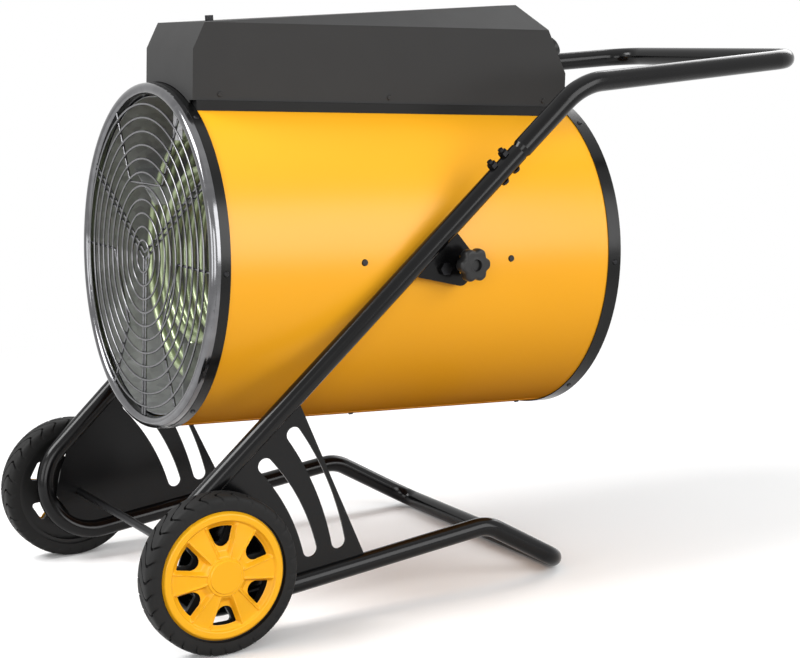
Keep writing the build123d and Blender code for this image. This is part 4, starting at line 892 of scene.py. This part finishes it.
def gland_grid():
    """Rows of (distance, plain radius, ridge share, hexagon share)."""
    rows = np.array([
        (-0.009, 0.0060, 0, 0), (GLAND_OUTSIDE, 0.0060, 0, 0), (GLAND_OUTSIDE, 0.0082, 0, 0),
        (0.0150, 0.0094, 0, 0), (0.0132, 0.0104, 0, 0), (0.0128, 0.0108, 0, 0),
        (0.0120, 0.0108, 1, 0), (0.0048, 0.0108, 1, 0), (0.0040, 0.0108, 0, 0),
        (0.0036, 0.0108, 0, 0), (0.0036, 0.0118, 0, 0), (0.0030, 0.0120, 0, 0),
        (0.0003, 0.0120, 0, 0), (0.0, 0.0117, 0, 0), (0.0, 0.0085, 0, 0),
        (-0.0018, 0.0085, 0, 0), (-0.0018, 0, 0, 0.0105), (-0.0088, 0, 0, 0.0105),
        (-0.009, 0, 0, 0.0103),
    ])
    angle = np.linspace(0, 2 * pi, GLAND_COLUMNS, endpoint=False)
    ridge = GLAND_RIDGE * (0.5 + 0.5 * np.cos(GLAND_RIDGES * angle))
    hexagon = 1 / np.cos((angle % (pi / 3)) - pi / 6)
    radius = rows[:, 1:2] + rows[:, 2:3] * ridge + rows[:, 3:] * hexagon
    return gland.turned(rows[:, :1], radius, angle)


mesh = mesh_from_grids("ridged_gland", [(gland_grid(), True, True)])
tidy(mesh)
new_piece("ridged_gland", mesh, black_plastic, "heater", ["cable_gland"], 30)

# %% [markdown]
# The dials point at a scale printed on the panel: eleven ticks over three quarters of a turn
# round each, and a white line on each dial's pointer. Printed marks are a film of paint; here
# each one is a slab a tenth of a millimetre thick.

# %% Scales and pointer lines
MARK = 0.0001
SCALE_RADIUS = 0.0235
SCALE_SPAN = radians(270)
TICKS = 11
LONG_TICK_EVERY = 5
LONG_TICK, SHORT_TICK, TICK_WIDTH = 0.0044, 0.0028, 0.0008
POINTER_RADIUS, POINTER_LENGTH, POINTER_WIDTH = 0.0075, 0.0080, 0.0012


def slab_grid(place, middle, length, width, angle, foot):
    """A flat slab as four corner columns: rows go from its foot's middle out, up and back in."""
    along = np.array([1, -1, -1, 1]) * length / 2
    aside = np.array([1, 1, -1, -1]) * width / 2
    spread = np.array([0, 1, 1, 0])[:, None]
    radial, tangent = middle + spread * along, spread * aside
    level = np.array([foot, foot, foot + MARK, foot + MARK])[:, None]
    x = radial * cos(angle) - tangent * sin(angle)
    y = radial * sin(angle) + tangent * cos(angle)
    return place.at(x, y, level)


def dial_place(joint):
    """On the panel at a dial's axis: to the right, up the slope, outwards."""
    outwards = -np.array(joints[joint]["axis"], float)
    return Place(joints[joint]["pos_m"], across, np.cross(outwards, across), outwards)


def tick(place, number):
    """One slab of the scale, whose ticks are spread evenly over its span about the top."""
    angle = pi / 2 + SCALE_SPAN * (number / (TICKS - 1) - 0.5)
    length = LONG_TICK if number % LONG_TICK_EVERY == 0 else SHORT_TICK
    return slab_grid(place, SCALE_RADIUS, length, TICK_WIDTH, angle, 0), False, True


white_print = moulded("white_print", "#E2E2DE", "#EDEDEA", 0.5, 0.001, 0.000004)
scale = []
for name in ("heat_selector", "thermostat"):
    place = dial_place(name + "_turn")
    scale += [tick(place, number) for number in range(TICKS)]
    tip = place.inside(corners_of(name + "_knob"))[:, 2].max()
    line = slab_grid(place, POINTER_RADIUS, POINTER_LENGTH, POINTER_WIDTH, pi / 2, tip)
    mesh = mesh_from_grids(name + "_line", [(line, False, True)])
    tidy(mesh)
    new_piece(name + "_line", mesh, white_print, name, sharp=0)
mesh = mesh_from_grids("dial_scales", scale)
tidy(mesh)
new_piece("dial_scales", mesh, white_print, "heater", sharp=0)

# %% [markdown]
# ## Floor
#
# The floor looks white to the camera and in reflections, but throws back only a little light,
# and warm light at that, so the drum's underside stays darker and a deeper orange than its
# side. One flat square is enough, because it fades into a glow before its edge can show.


# %% Floor
def background(name, shown, thrown, near, far):
    """Pale to the camera and in reflections, darker to the light that it throws back.

    Nearer than the first distance it is a plain surface that takes the shadow. Past the second
    it only glows white, so that no edge shows against the world.
    """
    finish = Finish(name, shown, 0.9, specular_ior_level=0.0, emission_strength=1.0)
    path = finish.node("ShaderNodeLightPath").socket.node.outputs
    rays = [Value(finish, path[f"Is {kind} Ray"]) for kind in ("Camera", "Glossy", "Transmission")]
    seen = rays[0] + rays[1] + rays[2]
    own = finish.node("ShaderNodeTexCoord", output="Object")
    distance = finish.node("ShaderNodeVectorMath", {"operation": "LENGTH"}, {0: own}, "Value")
    limits = {"Value": distance, "From Min": near, "From Max": far}
    glow = finish.node("ShaderNodeMapRange", {"interpolation_type": "SMOOTHSTEP"}, limits)
    surface = finish.between(thrown, shown, seen)
    dimmed = {"Factor": glow, 6: surface, 7: tint("#000000")}
    finish.set("Base Color", finish.node("ShaderNodeMix", {"data_type": "RGBA"}, dimmed, 2))
    finish.set("Emission Color", finish.between("#000000", "#FFFFFF", glow * seen))
    return finish


FLOOR_HALF = 14.0
FADE_START, FADE_END = 1.0, 2.2
floor_mesh = bpy.data.meshes.new("studio_floor")
floor_mesh.from_pydata(
    [(x, y, 0) for x, y in ((-1, -1), (1, -1), (1, 1), (-1, 1))], [], [(0, 1, 2, 3)]
)
floor_mesh.transform(Matrix.Scale(FLOOR_HALF, 4))
floor = bpy.data.objects.new("studio_floor", floor_mesh)
studio_white = background("studio_white", "#FFFFFF", "#6E5030", FADE_START, FADE_END)
floor_mesh.materials.append(studio_white.material)
bpy.context.scene.collection.objects.link(floor)
floor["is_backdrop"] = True
print("floor", 2 * FLOOR_HALF, "m wide, fades from", FADE_START, "to", FADE_END, "m")

# %% [markdown]
# ## Light
#
# The key is a big soft lamp about a metre above the drum, on the camera's right. A cylinder
# shows a lamp as one long band, and from there the band falls on the upper half of the drum's
# side. The other lamps fill its shade and reach the top, the hood's front, the outlet and the
# rear.


# %% Lamps
def soft_lamp(name, place, aim, size, power):
    """A square lamp, its side in metres and its power in watts, turned to face a point."""
    data = bpy.data.lights.new(name, "AREA")
    data.size, data.energy = size, power
    lamp = bpy.data.objects.new(name, data)
    bpy.context.scene.collection.objects.link(lamp)
    lamp.location = place
    lamp.rotation_euler = (Vector(aim) - Vector(place)).to_track_quat("-Z", "Y").to_euler()


soft_lamp("key_lamp", (1.6, -3.4, 1.65), (0, 0, 0.45), 2.4, 88)
soft_lamp("fill_lamp", (-1.9, -3.3, 1.0), (0, 0, 0.40), 1.8, 42)
soft_lamp("top_lamp", (0.2, -0.4, 3.6), (0, 0, 0.4), 3.0, 8)
soft_lamp("front_lamp", (-2.5, 0.5, 2.8), (-0.3, 0, 0.7), 1.6, 105)
soft_lamp("outlet_lamp", (-3.3, -0.9, 1.0), (-0.3, 0, 0.45), 1.5, 26)
soft_lamp("rear_lamp", (3.0, 1.6, 2.4), (0, 0, 0.5), 2.0, 45)
print(len(bpy.data.lights), "lamps")

# %% [markdown]
# The world is dim as a light, and white where the camera, a reflection or a ray through
# something clear meets it. A Light Path node tells these rays from the others.

# %% World
WORLD_LIGHT = 0.42
world = bpy.data.worlds.new("studio_world")
bpy.context.scene.world = world
world.use_nodes = True
tree = world.node_tree
surround = tree.nodes["Background"]
surround.inputs["Color"].default_value = (1, 1, 1, 1)
path = tree.nodes.new("ShaderNodeLightPath")
seen = path.outputs["Is Camera Ray"]
for kind in ("Glossy", "Transmission"):
    either = tree.nodes.new("ShaderNodeMath")
    either.operation = "MAXIMUM"
    tree.links.new(seen, either.inputs[0])
    tree.links.new(path.outputs[f"Is {kind} Ray"], either.inputs[1])
    seen = either.outputs[0]
level = tree.nodes.new("ShaderNodeMix")
level.inputs["A"].default_value = WORLD_LIGHT
level.inputs["B"].default_value = 1.0
tree.links.new(seen, level.inputs["Factor"])
tree.links.new(level.outputs[0], surround.inputs["Strength"])
print("the world lights at", WORLD_LIGHT, "of the white that it shows")

# %% [markdown]
# ## Camera
#
# The camera was worked out from the photograph: where it stood, how it was turned and how long
# its lens was, so that the outlines of the wheels, drum, hood and handle fall where they do there.

# %% Camera
IMAGE_WIDTH = 800
FOCAL_PIXELS = 1877.4
CAMERA_PLACE = (-1.451, -2.544, 0.847)
CAMERA_YAW, CAMERA_PITCH, CAMERA_ROLL = radians(29.70), radians(9.78), radians(-1.52)
camera_data = bpy.data.cameras.new("photo_camera")
camera_data.sensor_width = 36.0
camera_data.lens = FOCAL_PIXELS * camera_data.sensor_width / IMAGE_WIDTH
camera = bpy.data.objects.new("photo_camera", camera_data)
bpy.context.scene.collection.objects.link(camera)
level_ahead = Vector((sin(CAMERA_YAW), cos(CAMERA_YAW), 0))
ahead = level_ahead * cos(CAMERA_PITCH) - Vector((0, 0, sin(CAMERA_PITCH)))
level_right = Vector((cos(CAMERA_YAW), -sin(CAMERA_YAW), 0))
level_up = level_right.cross(ahead)
right = level_right * cos(CAMERA_ROLL) + level_up * sin(CAMERA_ROLL)
up = level_up * cos(CAMERA_ROLL) - level_right * sin(CAMERA_ROLL)
turn = Matrix((right, up, -ahead)).transposed().to_4x4()
camera.matrix_world = Matrix.Translation(CAMERA_PLACE) @ turn
camera_data.shift_x = -0.021
camera_data.shift_y = 0.009
bpy.context.scene.camera = camera
bpy.context.scene.view_settings.view_transform = "Standard"
print("lens", round(camera_data.lens, 1), "mm")

# %% Print the sizes of the CAD and the visual model
made_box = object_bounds()
for name, box in (("cad", cad_box), ("visual", made_box)):
    print(name, [[round(value, 4) for value in corner] for corner in box])
